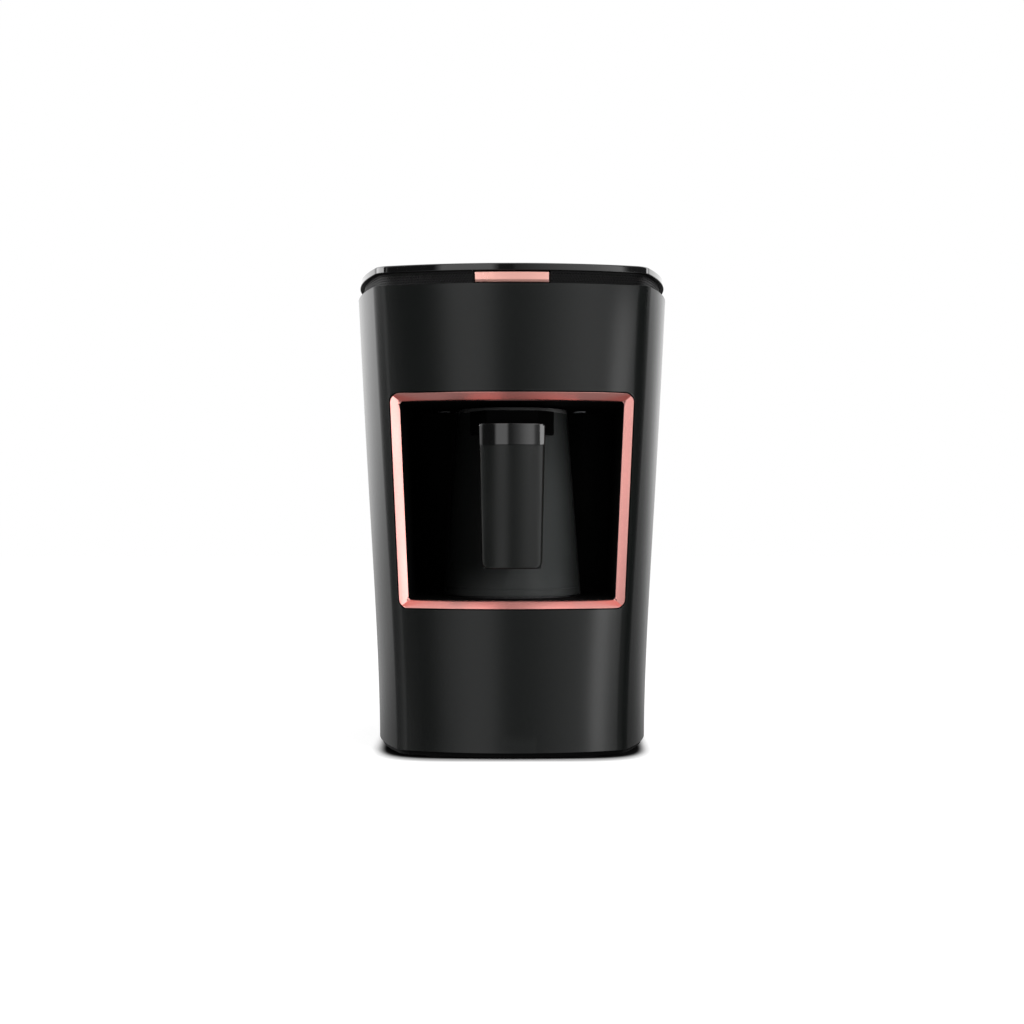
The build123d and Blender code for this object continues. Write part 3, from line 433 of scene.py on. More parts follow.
def planArcs(level, gap):
    # the front arc, the right side arc and the corner arc between them: centre and radius of each
    halfX = casing["halfWidth"] - taperAt(level) - gap
    halfY = casing["halfDepth"] - taperAt(level) - gap
    cornerX, cornerY = halfX - casing["sideBow"], halfY - casing["frontBow"]
    frontRadius = (cornerX**2 + casing["frontBow"] ** 2) / (2 * casing["frontBow"])
    sideRadius = (cornerY**2 + casing["sideBow"] ** 2) / (2 * casing["sideBow"])
    front = Vector((0, frontRadius - halfY))
    side = Vector((halfX - sideRadius, 0))
    reachFront, reachSide = frontRadius - casing["cornerRadius"], sideRadius - casing["cornerRadius"]
    line = side - front
    along = (reachFront**2 - reachSide**2 + line.length_squared) / (2 * line.length)
    across = sqrt(reachFront**2 - along**2)
    way = line.normalized()
    corners = [front + way * along + Vector((-way.y, way.x)) * sign * across for sign in (-1, 1)]
    corner = min(corners, key=lambda place: place.y)
    return (front, frontRadius), (side, sideRadius), (corner, casing["cornerRadius"])


def quarterPlan(level, gap):
    # points from the middle of the front to the middle of the right side
    (front, frontRadius), (side, sideRadius), (corner, cornerRadius) = planArcs(level, gap)
    toFront, toSide = corner - front, corner - side
    frontAngle = atan2(toFront.x, -toFront.y)
    sideAngle = atan2(toSide.x, -toSide.y)
    spans = (
        (front, frontRadius, 0.0, frontAngle, casing["frontSteps"]),
        (corner, cornerRadius, frontAngle, sideAngle, casing["cornerSteps"]),
        (side, sideRadius, sideAngle, pi / 2, casing["sideSteps"]),
    )
    points = []
    for centre, radius, start, end, steps in spans:
        for step in range(steps):
            angle = start + (end - start) * step / steps
            points.append((centre.x + radius * sin(angle), centre.y - radius * cos(angle)))
    points.append((side.x + sideRadius, 0.0))
    return points


def planLoop(level, gap):
    # the whole outline, from the middle of the front round by the right side
    quarter = quarterPlan(level, gap)
    half = quarter[:-1] + [(x, -y) for x, y in reversed(quarter)]
    return half[:-1] + [(-x, y) for x, y in reversed(half)][:-1]


def frontY(x, level, depth=0.0):
    # Y of the bowed front at this distance from the middle and level, this deep behind it
    (front, radius), _, _ = planArcs(level, depth)
    return front.y - sqrt(radius**2 - x**2)


def wallY(x, level):
    # Y of the front wall with its rounded corners, further out than the plain bow reaches
    (front, radius), _, (corner, cornerRadius) = planArcs(level, 0.0)
    reach = corner.x + cornerRadius * (corner.x - front.x) / (radius - cornerRadius)
    if abs(x) <= reach:
        return front.y - sqrt(radius**2 - x**2)
    return corner.y - sqrt(max(cornerRadius**2 - (abs(x) - corner.x) ** 2, 0.0))


def windowHalf(level):
    share = (level - window["low"]) / (window["high"] - window["low"])
    return window["halfLow"] + (window["halfHigh"] - window["halfLow"]) * share


def windowLoop(side, rail, radius, sideSteps, railSteps, arcSteps):
    # (x, z) points round the window drawn in by side and rail, from the middle of the lower left
    # corner's arc; each side gets its own number of steps and half of the arcs at its ends
    low, high = window["low"] + rail, window["high"] - rail
    halfLow, halfHigh = windowHalf(low) - side, windowHalf(high) - side
    places = ((-halfLow, low), (halfLow, low), (halfHigh, high), (-halfHigh, high))
    corners = [Vector(place) for place in places]
    arcs = []
    for index, corner in enumerate(corners):
        before = (corners[index - 1] - corner).normalized()
        after = (corners[(index + 1) % 4] - corner).normalized()
        half = before.angle(after) / 2
        centre = corner + (before + after).normalized() * radius / sin(half)
        spoke = corner + before * radius / tan(half) - centre
        turn = (pi - 2 * half) / (2 * arcSteps)
        arcs.append([centre + Matrix.Rotation(turn * step, 2) @ spoke for step in range(2 * arcSteps + 1)])
    loop = []
    for index in range(4):
        steps = (railSteps, sideSteps)[index % 2] - 2 * arcSteps
        loop.extend(arcs[index][arcSteps:])
        start, end = arcs[index][-1], arcs[(index + 1) % 4][0]
        loop.extend(start.lerp(end, step / steps) for step in range(1, steps))
        loop.extend(arcs[(index + 1) % 4][:arcSteps])
    return [(point.x, point.y) for point in loop]


def makeCasing():
    # the outer wall as one sheet with the window and the cord hole in it, thickened afterwards
    look = casing
    steps, rows, cordRows = look["frontSteps"], look["rows"], look["cordRows"]
    reach = steps + look["patchReach"]
    levels = [look["low"] + (look["high"] - look["low"]) * row / rows for row in range(rows + 1)]
    loops = [planLoop(level, 0.0) for level in levels]
    count = len(loops[0])
    middle = count // 2
    points = [(x, y, level) for level, loop in zip(levels, loops) for x, y in loop]
    faces = []

    def indexAt(row, column):
        return row * count + column % count

    for row in range(rows):
        for column in range(reach, count - reach):
            if row >= cordRows or not middle - steps <= column < middle + steps:
                corners = (row, column), (row, column + 1), (row + 1, column + 1), (row + 1, column)
                faces.append([indexAt(*corner) for corner in corners])

    def fillRound(left, right, lastRow, hole, loopCount, sign):
        # a patch between a rectangle of the grid and a hole with as many points
        border = [indexAt(0, column) for column in range(left, right)]
        border += [indexAt(row, right) for row in range(lastRow)]
        border += [indexAt(lastRow, column) for column in range(right, left, -1)]
        border += [indexAt(row, left) for row in range(lastRow, 0, -1)]
        rings = [border]
        for loop in range(1, loopCount + 1):
            share = 1 - (1 - loop / loopCount) ** look["patchEase"]
            rings.append(list(range(len(points), len(points) + len(border))))
            for edge, (holeX, holeZ) in zip(border, hole):
                edgeX, _, edgeZ = points[edge]
                x, z = edgeX + (holeX - edgeX) * share, edgeZ + (holeZ - edgeZ) * share
                points.append((x, sign * -wallY(x, z), z))
        faces.extend(ringFaces(rings))

    gap = window["gap"]
    windowHole = windowLoop(-gap, -gap, window["radius"] + gap, rows, 2 * reach, window["arcSteps"])
    fillRound(-reach, reach, rows, windowHole, window["loops"], -1)
    glandLow, glandHigh = boxOf("cord_gland")
    cordLevel = (glandLow.z + glandHigh.z) / 2
    cordHole = []  # a quarter of the circle for each side of the patch
    for side, sideSteps in enumerate((2 * steps, cordRows) * 2):
        for step in range(sideSteps):
            angle = radians(-45 - 90 * side - 90 * step / sideSteps)
            x, z = look["cordRadius"] * cos(angle), look["cordRadius"] * sin(angle)
            cordHole.append((x, cordLevel + z))
    fillRound(middle - steps, middle + steps, cordRows, cordHole, look["cordLoops"], 1)

    mesh = newMesh("casingShell", points, faces)
    cleanMesh(mesh, sheet=True)
    shell = newObject("casingShell", mesh)
    wall = shell.modifiers.new("wall", "SOLIDIFY")
    wall.thickness = look["wall"] * mm
    wall.offset = -1
    wall.use_even_offset = True
    roundEdges(shell, look["edgeRound"], look["edgeSteps"], sharp=50)
    settle(shell, "satinCasing", "casing", ["outer_shell"], sharp=60)


makeCasing()
print("casing made")


# Top plate, perforated band and start button.

plateLow, plateHigh = boxOf("top_plate")
topPlate = {
    "low": plateLow.z, "high": plateHigh.z, "inset": 0.8, "edge": 0.9, "lowEdge": 0.3,
    "recess": 0.5, "play": 0.05, "slack": 0.02, "edgeSteps": 5, "crown": 0.25, "crownEase": 1.3,
    "crownLoops": 9,
}


def makeTopPlate():
    look = topPlate
    low, edge, inset, lowEdge = look["low"], look["edge"], look["inset"], look["lowEdge"]
    recess, seat = low + look["recess"], inset + lowEdge + look["play"]

    def ring(gap, level):
        return [(x, y, level) for x, y in planLoop(low, gap)]

    loops = [ring(seat, recess), ring(seat, low + look["play"])]
    for rise, fall in quarterTurn(look["edgeSteps"]):
        loops.append(ring(inset + lowEdge * (1 - rise), low + lowEdge * (1 - fall)))
    top = look["high"] - look["crown"]
    for rise, fall in quarterTurn(look["edgeSteps"]):
        loops.append(ring(inset + edge * (1 - fall), top - edge + edge * rise))
    outline = loops[-1]
    for step in range(1, look["crownLoops"]):
        share = (step / look["crownLoops"]) ** look["crownEase"]
        rise = look["crown"] * (1 - (1 - share) ** 2)
        loops.append([(x * (1 - share), y * (1 - share), top + rise) for x, y, _ in outline])
    points, faces = stackRings(loops)
    count, centre = len(outline), len(points)
    points.append((0, 0, look["high"]))
    faces.append(list(reversed(range(count))))
    lastRing = centre - count
    faces += [[lastRing + step, lastRing + (step + 1) % count, centre] for step in range(count)]
    makePiece("topPlate", (points, faces), "glossPlate", "casing", ["top_plate"], sharp=50)
    # the moulding let into the plate's underside
    slack = look["slack"]
    shape = stackRings([ring(seat + slack, level) for level in (low, recess - slack)], caps=True)
    makePiece("plateUnderside", shape, "ventBlack", "casing", [], sharp=50)


bandLow, bandHigh = boxOf("vent_band")
ventBand = {
    "low": bandLow.z, "high": bandHigh.z, "inset": 3.2, "wall": 2.0, "notchHalf": 20.7, "rows": 6,
    "pitch": 1.55, "margin": 0.75, "holeShare": 0.33, "holeDepth": 0.9,
}


def makeVentBand():
    # a strip of hexagonal blind holes in staggered rows, closed at its ends and behind
    look = ventBand
    outline = planLoop(look["low"], look["inset"])
    outline.append(outline[0])
    lengths = [0.0]
    for (x0, y0), (x1, y1) in zip(outline, outline[1:]):
        lengths.append(lengths[-1] + hypot(x1 - x0, y1 - y0))
    last = next(step for step, (x, _) in enumerate(outline[1:]) if x > look["notchHalf"])
    start = lengths[last] + look["notchHalf"] - outline[last][0]
    run = lengths[-1] - 2 * start
    columns = 2 * round(run / look["pitch"] / 2)
    pitch = run / columns

    def place(distance, level, depth):
        # a point this far along the strip, on its face or this deep behind it
        step = bisect_left(lengths, start + distance) - 1
        (x0, y0), (x1, y1) = outline[step], outline[step + 1]
        span = lengths[step + 1] - lengths[step]
        share = (start + distance - lengths[step]) / span
        normalX, normalY = (y1 - y0) / span, -(x1 - x0) / span
        return (x0 + (x1 - x0) * share - normalX * depth, y0 + (y1 - y0) * share - normalY * depth, level)

    points, faces, shared = [], [], {}

    def sharedPoint(half, line):
        # a corner of the cells: half counts half pitches along, line counts rows up
        if (half, line) not in shared:
            shared[half, line] = len(points)
            points.append(place(half * pitch / 2, levels[line], 0.0))
        return shared[half, line]

    rows, halves = look["rows"], range(2 * columns + 1)
    height = (look["high"] - look["low"] - 2 * look["margin"]) / rows
    levels = [look["low"] + look["margin"] + height * row for row in range(rows + 1)]
    radius = look["holeShare"] * pitch
    hexagon = [radians(210 + 60 * side) for side in range(6)]
    for row in range(rows):
        odd = row % 2
        for column in range(columns - odd):
            left = 2 * column + odd
            corners = [sharedPoint(half, row) for half in (left, left + 1, left + 2)]
            corners += [sharedPoint(half, row + 1) for half in (left + 2, left + 1, left)]
            middle, level = (left + 1) * pitch / 2, levels[row] + height / 2
            rim, bottom = len(points), len(points) + len(hexagon)
            for depth in (0.0, look["holeDepth"]):
                for angle in hexagon:
                    points.append(place(middle + radius * cos(angle), level + radius * sin(angle), depth))
            for side in range(len(hexagon)):
                after = (side + 1) % len(hexagon)
                faces.append([corners[side], corners[after], rim + after, rim + side])
                faces.append([rim + side, rim + after, bottom + after, bottom + side])
            faces.append([bottom + side for side in range(len(hexagon))])
        if odd:  # the half cells at both ends of a staggered row are plain
            for left in (0, 2 * columns - 1):
                corners = (left, row), (left + 1, row), (left + 1, row + 1), (left, row + 1)
                faces.append([sharedPoint(*corner) for corner in corners])
    # margins above and below, then the top, the back and the underside, all in half pitches
    lines = []
    for level, depth in (
        (look["low"], 0.0),
        (look["low"], look["wall"]),
        (look["high"], look["wall"]),
        (look["high"], 0.0),
    ):
        lines.append([len(points) + half for half in halves])
        points.extend(place(half * pitch / 2, level, depth) for half in halves)
    lowest, highest = ([sharedPoint(half, line) for half in halves] for line in (0, rows))
    chain = [highest, *reversed(lines), lowest]
    for under, over in zip(chain, chain[1:]):
        for half in range(2 * columns):
            faces.append([under[half], under[half + 1], over[half + 1], over[half]])
    for end in (0, 2 * columns):
        rim = [sharedPoint(end, line) for line in range(rows + 1)]
        faces.append(rim + [line[end] for line in reversed(lines)])
    makePiece("ventBand", (points, faces), "ventBlack", "casing", ["vent_band"], sharp=30)
    print("vent holes:", sum(columns - row % 2 for row in range(rows)))


buttonLow, buttonHigh = boxOf("start_button")
startButton = {
    "low": buttonLow.z, "high": buttonHigh.z, "half": buttonHigh.x, "back": buttonHigh.y,
    "inset": 0.8, "topChamfer": 0.4, "lowChamfer": 1.2, "steps": 28, "rounding": 0.14,
    "travel": 1.6,
}


def makeStartButton():
    look = startButton
    low, high, back, steps = look["low"], look["high"], look["back"], look["steps"]
    topChamfer, lowChamfer = look["topChamfer"], look["lowChamfer"]
    loops = []
    for step in range(steps + 1):
        x = -look["half"] + 2 * look["half"] * step / steps
        front = frontY(x, plateLow.z, look["inset"])
        loops.append([
            (x, front, high - topChamfer),
            (x, front, low + lowChamfer),
            (x, front + lowChamfer, low),
            (x, back, low),
            (x, back, high),
            (x, front + topChamfer, high),
        ])
    shape, stands = stackRings(loops, caps=True), ["start_button"]
    rounding = look["rounding"]
    makePiece("startButton", shape, "roseButton", "button", stands, 25, rounding)


def makeButtonSprings():
    # the springs are a copy of their CAD node, given the spring finish and handed to the casing
    piece = newObject("buttonSprings", nodes["button_springs"].data.copy())
    piece.data.materials.clear()
    piece.data.materials.append(materials["springWire"])
    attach(piece, "casing")
    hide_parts("button_springs")
    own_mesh(piece)


makeTopPlate()
makeVentBand()
makeStartButton()
makeButtonSprings()
print("top made")


# Window frame: bars with a mitred bevel that follow the bowed front.

windowFrame = {
    "outer": 0.35, "lip": 0.5, "rail": 4.7, "side": 5.5, "bevelDepth": 4.5, "bevelShare": 0.97,
    "depth": 9.0, "innerRadius": 1.6, "flange": 3.0, "bevelLoops": 6, "soft": 0.12,
    "softShare": 0.3, "sideSteps": 44, "railSteps": 52, "arcSteps": 7, "seatPlay": 0.1,
    "sealDepth": 0.45, "sleeve": 0.12, "sleeveLap": 0.05, "sleeveStart": 0.4,
}


def makeWindowFrame():
    look = windowFrame
    lip, deep, soft, edge = look["lip"], look["bevelDepth"], look["soft"], look["outer"]
    outer, inner = window["radius"], look["innerRadius"]
    sideReach, railReach = look["side"] - lip, look["rail"] - lip
    corner, along = look["railSteps"], look["sideSteps"]
    creases = {0, corner, corner + along, 2 * corner + along}

    def bevelShares(x, z):
        # how far across the bevel this is, counted from the side and from the rail
        fromSide = (windowHalf(z) - abs(x) - lip) / sideReach
        fromRail = (min(z - window["low"], window["high"] - z) - lip) / railReach
        return fromSide, fromRail

    def onCrease(x, z):
        # moves the middle point of a corner onto the mitre between its two bevels
        share = sum(bevelShares(x, z)) / 2
        if share <= 0:
            return x, z
        reach = lip + railReach * share
        upper = z > (window["low"] + window["high"]) / 2
        z = window["high"] - reach if upper else window["low"] + reach
        half = windowHalf(z) - lip - sideReach * share
        return (half if x > 0 else -half), z

    def ring(side, rail, radius, depth=None, drop=0.0):
        # a loop at this depth behind the front, or on the bevel when no depth is given
        points = []
        outline = windowLoop(side, rail, radius, look["sideSteps"], look["railSteps"], look["arcSteps"])
        for step, (x, z) in enumerate(outline):
            behind = depth
            if depth is None:
                x, z = onCrease(x, z) if step in creases else (x, z)
                behind = drop + deep * min(max(min(bevelShares(x, z)), 0.0), 1.0)
            points.append((x, frontY(x, z) + behind, z))
        return points

    def flatRing(reach, depth):
        return ring(reach, reach, outer - reach, depth)

    softer = soft * look["softShare"]
    loops = [
        ring(edge + part, edge + part, outer - edge - part, drop=drop)
        for part, drop in ((0, soft), (softer, softer), (soft, 0))
    ]
    loops.append(ring(lip, lip, outer - lip))
    for step in range(1, look["bevelLoops"] + 1):
        share = step / look["bevelLoops"] * look["bevelShare"]
        radius = outer - lip + (inner - outer + lip) * share
        loops.append(ring(lip + sideReach * share, lip + railReach * share, radius))
    flange, seat = -look["flange"], casing["wall"] + look["seatPlay"]
    loops += [ring(look["side"], look["rail"], inner, depth) for depth in (deep + soft, look["depth"])]
    loops += [flatRing(flange, look["depth"]), flatRing(flange, seat), flatRing(edge, seat)]
    shape = stackRings(loops, closed=True)
    makePiece("windowFrame", shape, "roseFrame", "casing", ["window_frame"], sharp=24)
    # a black seal fills the gap between the frame and the casing; its black is also painted shade, standing
    # in for the shadow in that gap
    gap, start = -window["gap"], look["sealDepth"]
    sections = (gap, start), (edge, start), (edge, seat), (gap, seat)
    shape = stackRings([flatRing(reach, depth) for reach, depth in sections], closed=True)
    makePiece("windowSealShade", shape, "bridgeBlack", "casing", [])
    # and a thin black sleeve lines the frame's inner wall, behind the bevel
    lap, proud = -look["sleeveLap"], look["sleeve"]
    start, end = deep + look["sleeveStart"], look["depth"] - look["sleeveLap"]
    sections = (lap, start), (proud, start), (proud, end), (lap, end)
    loops = [
        ring(look["side"] + drawn, look["rail"] + drawn, inner - drawn, depth) for drawn, depth in sections
    ]
    shape = stackRings(loops, closed=True)
    makePiece("windowSleeve", shape, "chamberBlack", "casing", [])


makeWindowFrame()
print("frame made")


# Pot and handle.

footLow, footHigh = boxOf("pot_foot")
rimLow, rimHigh = boxOf("pot_rim")
pot = {
    "y": (footLow.y + footHigh.y) / 2, "low": footLow.z, "high": rimHigh.z,
    "baseRadius": footHigh.x, "rimRadius": 32.3, "footHigh": footHigh.z, "collarLow": rimLow.z,
    "collarInside": 29.6, "collarRound": 0.7, "collarSteps": 6, "jacketWall": 1.6, "jacketRows": 10,
    "steps": 96, "groove": 0.18,
}


def potRadius(level):
    share = (level - pot["low"]) / (pot["high"] - pot["low"])
    return pot["baseRadius"] + (pot["rimRadius"] - pot["baseRadius"]) * share


def turnPiece(name, profile, finish, stands):
    # a ring turned about the pot's axis from a closed profile of (radius, level) points
    turns = [2 * pi * step / pot["steps"] for step in range(pot["steps"])]
    loops = [
        [(radius * cos(turn), pot["y"] + radius * sin(turn), level) for turn in turns]
        for radius, level in profile
    ]
    makePiece(name, stackRings(loops, closed=True), finish, "pot", stands, sharp=35)


def makePot():
    low, high, top = pot["footHigh"], pot["collarLow"], pot["high"]
    groove, wall, rows = pot["groove"], pot["jacketWall"], pot["jacketRows"]
    lowRadius, highRadius, topRadius = potRadius(low), potRadius(high), potRadius(top)
    jacket = [(lowRadius - groove, low), (lowRadius, low + groove)]
    for level in (low + (high - low) * row / rows for row in range(1, rows)):
        jacket.append((potRadius(level), level))
    jacket += [(highRadius, high - groove), (highRadius - groove, high)]
    jacket += [(highRadius - wall, high), (lowRadius - wall, low)]
    turnPiece("potJacket", jacket, "potCharcoal", ["pot_jacket"])
    inside, rounding = pot["collarInside"], pot["collarRound"]
    collar = [(inside, high), (highRadius - groove, high), (highRadius, high + groove)]
    for rise, fall in quarterTurn(pot["collarSteps"]):
        collar.append((topRadius - rounding * (1 - fall), top - rounding * (1 - rise)))
    for rise, fall in quarterTurn(pot["collarSteps"]):
        collar.append((inside + rounding * (1 - rise), top - rounding * (1 - fall)))
    turnPiece("potRim", collar, "potTrim", ["pot_rim"])


gripLow, gripHigh = boxOf("handle_grip")
capLow, capHigh = boxOf("handle_cap")
handle = {
    "low": gripLow.z, "high": capHigh.z, "halfLow": 16.4, "halfHigh": 18.2, "front": gripLow.y,
    "back": gripHigh.y, "capLow": capLow.z, "seam": 0.05, "radius": 3.9, "topRadius": 1.4,
    "leastRadius": 0.4, "leastTopRadius": 0.3, "cutRadius": 0.25, "cutShare": 0.12,
    "gripRound": 1.2, "capRound": 0.6, "roundSteps": 5, "arcSteps": 6, "sideSteps": 10,
    "acrossSteps": 24, "groove": 0.16, "bow": 45.0,
}


def bowY(x):
    # how far the bowed front falls back at this distance from its middle
    return handle["bow"] - sqrt(handle["bow"] ** 2 - x**2)


def paddleSide(inset, lowLevel=None, highLevel=None):
    # (x, z) points up the handle's right side drawn in by inset; a level that is given ends it in a
    # straight cut
    look = handle
    slope = (look["halfHigh"] - look["halfLow"]) / (look["high"] - look["low"])
    lowRadius = topRadius = look["cutRadius"]
    if lowLevel is None:
        lowRadius, bottom = max(look["radius"] - inset, look["leastRadius"]), look["low"] + inset
    else:
        bottom = lowLevel + inset * look["cutShare"]
    if highLevel is None:
        topRadius, top = max(look["topRadius"] - inset, look["leastTopRadius"]), look["high"] - inset
    else:
        top = highLevel - inset * look["cutShare"]

    def halfAt(level):
        return look["halfLow"] - inset + slope * (level - look["low"])

    right = []
    start, end = bottom + lowRadius, top - topRadius
    for rise, fall in quarterTurn(look["arcSteps"]):
        right.append((halfAt(start) - lowRadius * (1 - rise), start - lowRadius * fall))
    for step in range(1, look["sideSteps"]):
        level = start + (end - start) * step / look["sideSteps"]
        right.append((halfAt(level), level))
    for rise, fall in quarterTurn(look["arcSteps"]):
        right.append((halfAt(end) - topRadius * (1 - fall), end + topRadius * rise))
    return right


def paddlePiece(name, finish, slot, stands, rounding, **levels):
    # a slab of the handle's outline, its front bowed and its front rim rounded
    look = handle
    front, back, across = look["front"], look["back"], look["acrossSteps"]

    def closed(right, depthAt):
        # right side upward, then the top edge to the left, the left side down and the bottom edge
        left = [(-x, z) for x, z in reversed(right)]
        (topX, topZ), (lowX, lowZ) = right[-1], right[0]
        top = [(topX - 2 * topX * step / across, topZ) for step in range(1, across)]
        low = [(-lowX + 2 * lowX * step / across, lowZ) for step in range(1, across)]
        return [(x, depthAt(x), z) for x, z in right + top + left + low]

    loops = [
        closed(paddleSide(look["groove"], **levels), lambda x: back),
        closed(paddleSide(0.0, **levels), lambda x: back - look["groove"]),
    ]
    for rise, fall in quarterTurn(look["roundSteps"]):
        depth = front + rounding * (1 - rise)
        right = paddleSide(rounding * (1 - fall), **levels)
        loops.append(closed(right, lambda x: depth + bowY(x)))
    points, faces = stackRings(loops)
    count, side = len(loops[0]), len(right)
    faces.append(list(reversed(range(count))))
    # the front: one column of quads between each pair of points of the right side and the left
    firstRight = len(points) - count
    firstLeft = firstRight + side + across - 1
    columns = [[firstRight + step for step in range(side)]]
    for column in range(1, across):
        run = [firstLeft + side + across - 1 - column]
        for x, z in right[1:-1]:
            x -= 2 * x * column / across
            run.append(len(points))
            points.append((x, front + bowY(x), z))
        columns.append(run + [firstRight + side - 1 + column])
    columns.append([firstLeft + side - 1 - step for step in range(side)])
    for one, other in zip(columns, columns[1:]):
        for step in range(side - 1):
            faces.append([one[step], one[step + 1], other[step + 1], other[step]])
    makePiece(name, (points, faces), finish, "pot", stands, sharp=40)


def makeHandle():
    look = handle
    grip = ("handleGrip", "gripCharcoal", "grip_charcoal", ["handle_grip"], look["gripRound"])
    paddlePiece(*grip, highLevel=look["capLow"] - look["seam"])
    cap = ("handleCap", "capGloss", "cap_gloss", ["handle_cap"], look["capRound"])
    paddlePiece(*cap, lowLevel=look["capLow"])


makePot()
makeHandle()
print("pot made")


# Finishes of the CAD pieces that stay.

nodeFinishes = {
    "chamberBlack": ["chamber_liner", "sensor_hood"],
    "plateCoat": ["hot_plate"],
    "sealRubber": ["plate_seal", "cord_gland"],
    "elementSteel": ["heating_element"],
    "plainSteel": ["plate_strap", "temperature_probe"],
    "screwZinc": [
        "strap_screws", "plate_screws", "handle_screws", "base_screws", "clamp_screws", "board_screws",
    ],
    "partWhite": ["thermal_fuse", "terminal_block", "ribbon_socket"],
    "innerBlack": ["top_deck", "button_carrier", "base_cover"],
    "partBlack": ["micro_switch", "cord_clamp", "buzzer"],
    "partRed": ["switch_plunger"],
    "lensDark": ["sensor_lens"],
    "boardGreen": ["sensor_board", "lamp_board", "control_board"],
    "lampGrey": ["chamber_lamps"],
    "potSteel": ["pot_vessel"],
    "potCharcoal": ["pot_foot"],
    "bridgeBlack": ["handle_bridge"],
    "gripCharcoal": ["handle_back"],
    "footRubber": ["rubber_feet"],
    "partBlue": ["power_relay"],
    "partYellow": ["supply_coil"],
    "partDark": ["smoothing_capacitor"],
    "leadGrey": ["ribbon_lead", "switch_leads"],
    "leadRed": ["heater_leads"],
}
for finish, names in nodeFinishes.items():
    for name in names:
        slots = nodes[name].data.materials
        for number in range(len(slots)):
            slots[number] = materials[finish]
        if not slots:
            slots.append(materials[finish])
print("CAD pieces finished")


# Studio: a pale floor, a white surround and soft lamps.

studio = {
    "floorHalf": 4000.0, "floorCells": 8, "floorColour": (0.62, 0.62, 0.62, 1), "floorWhite": 0.74,
    # the floor's colour where the contact shadow is painted under the foot
    "paintedFloorShadow": (0.010, 0.010, 0.010, 1),
    # the painted contact shadow follows the casing's foot: half width and depth in metres, how square it is
    "shadeHalf": (0.0775, 0.0910), "shadeSpan": (0.93, 1.0), "glowHalf": (0.0812, 0.1037),
    "glowSpan": (0.88, 1.0), "footPower": 5.0, "roomLight": 0.42, "overhead": 0.8,
    "overheadFrom": (0.60, 0.80), "crest": 1.9, "crestFrom": (0.955, 0.990), "zenith": 0.03,
    "zenithFrom": (0.9935, 0.9972), "underfoot": 0.28, "underfootFrom": (-0.50, -0.75),
    "highFrom": (0.110, 0.135), "midFrom": (0.10, -0.10), "lowFrom": (-0.105, -0.155),
    # brightness round the object by bearing: degrees from the front, positive to its right.
    # Each ring has its own height above or below eye level.
    "highRing": [
        (-180, 1.3), (-122, 1.3), (-108, 6.0), (-62, 6.0), (-60.5, 0.03), (-48.5, 0.03), (-48, 1.1),
        (-44.5, 1.1), (-44, 0.02), (-26, 0.02), (-24.5, 1.3), (-6.5, 1.3), (-5, 0.03), (0, 0.03), (1, 0.2),
        (28, 1.2), (38, 2.0), (40, 0.06), (104, 0.06), (110, 5.0), (126, 1.3), (180, 1.3),
    ],
    "levelRing": [
        (-180, 1.5), (-150, 1.15), (-122, 1.2), (-106, 0.6), (-86, 0.3), (-64, 0.3), (-59, 0.95),
        (-45, 0.85), (-43, 0.02), (-25, 0.02), (-22, 0.88), (-7.5, 0.88), (-4.5, 0.07), (1, 0.12),
        (10, 0.35), (20, 0.8), (27, 1.0), (31, 0.9), (34, 0.3), (40, 0.12), (110, 0.1), (148, 0.34),
        (164, 1.32), (180, 1.5),
    ],
    "midRing": [
        (-180, 0.62), (-150, 0.45), (-125, 0.3), (-106, 0.3), (-86, 0.3), (-64, 0.3), (-59, 0.95),
        (-45, 0.85), (-43, 0.02), (-25, 0.02), (-22, 0.85), (-7.5, 0.85), (-4.5, 0.07), (1, 0.12),
        (10, 0.35), (20, 0.72), (27, 0.9), (31, 0.8), (34, 0.25), (40, 0.12), (110, 0.06), (148, 0.17),
        (164, 0.58), (180, 0.62),
    ],
    "lowRing": [
        (-180, 0.2), (-150, 0.18), (-130, 0.08), (-105, 0.15), (-80, 0.35), (-66, 0.6), (-56, 0.6),
        (-50, 0.05), (-42, 0.02), (-36, 0.15), (-29, 0.75), (-8, 0.75), (-4.5, 0.25), (0, 0.2), (12, 0.26),
        (22, 0.4), (32, 0.56), (42, 0.85), (45, 1.3), (48, 1.3), (50, 0.3), (70, 0.25), (90, 0.06),
        (135, 0.04), (160, 0.17), (180, 0.2),
    ],
}


def seenDirectly(tree, rays):
    # 1 for what the camera sees, also through clear pieces
    return calculate(tree, "MAXIMUM", rays["Is Camera Ray"], rays["Is Transmission Ray"])


def footShadowMask(tree, look):
    # a painted contact shadow: 0 under the casing's foot and 1 away from it, over this look's half sizes
    # and span
    parts = addNode(tree, "SeparateXYZ", {"Vector": objectPlace(tree)}).outputs
    power = studio["footPower"]
    powers = []
    for axis, half in zip("XY", studio[look + "Half"]):
        share = calculate(tree, "DIVIDE", calculate(tree, "ABSOLUTE", parts[axis]), half)
        powers.append(calculate(tree, "POWER", share, power))
    reach = calculate(tree, "POWER", calculate(tree, "ADD", *powers), 1 / power)
    start, end = studio[look + "Span"]
    return mapRange(tree, reach, start, end, curve="SMOOTHSTEP")


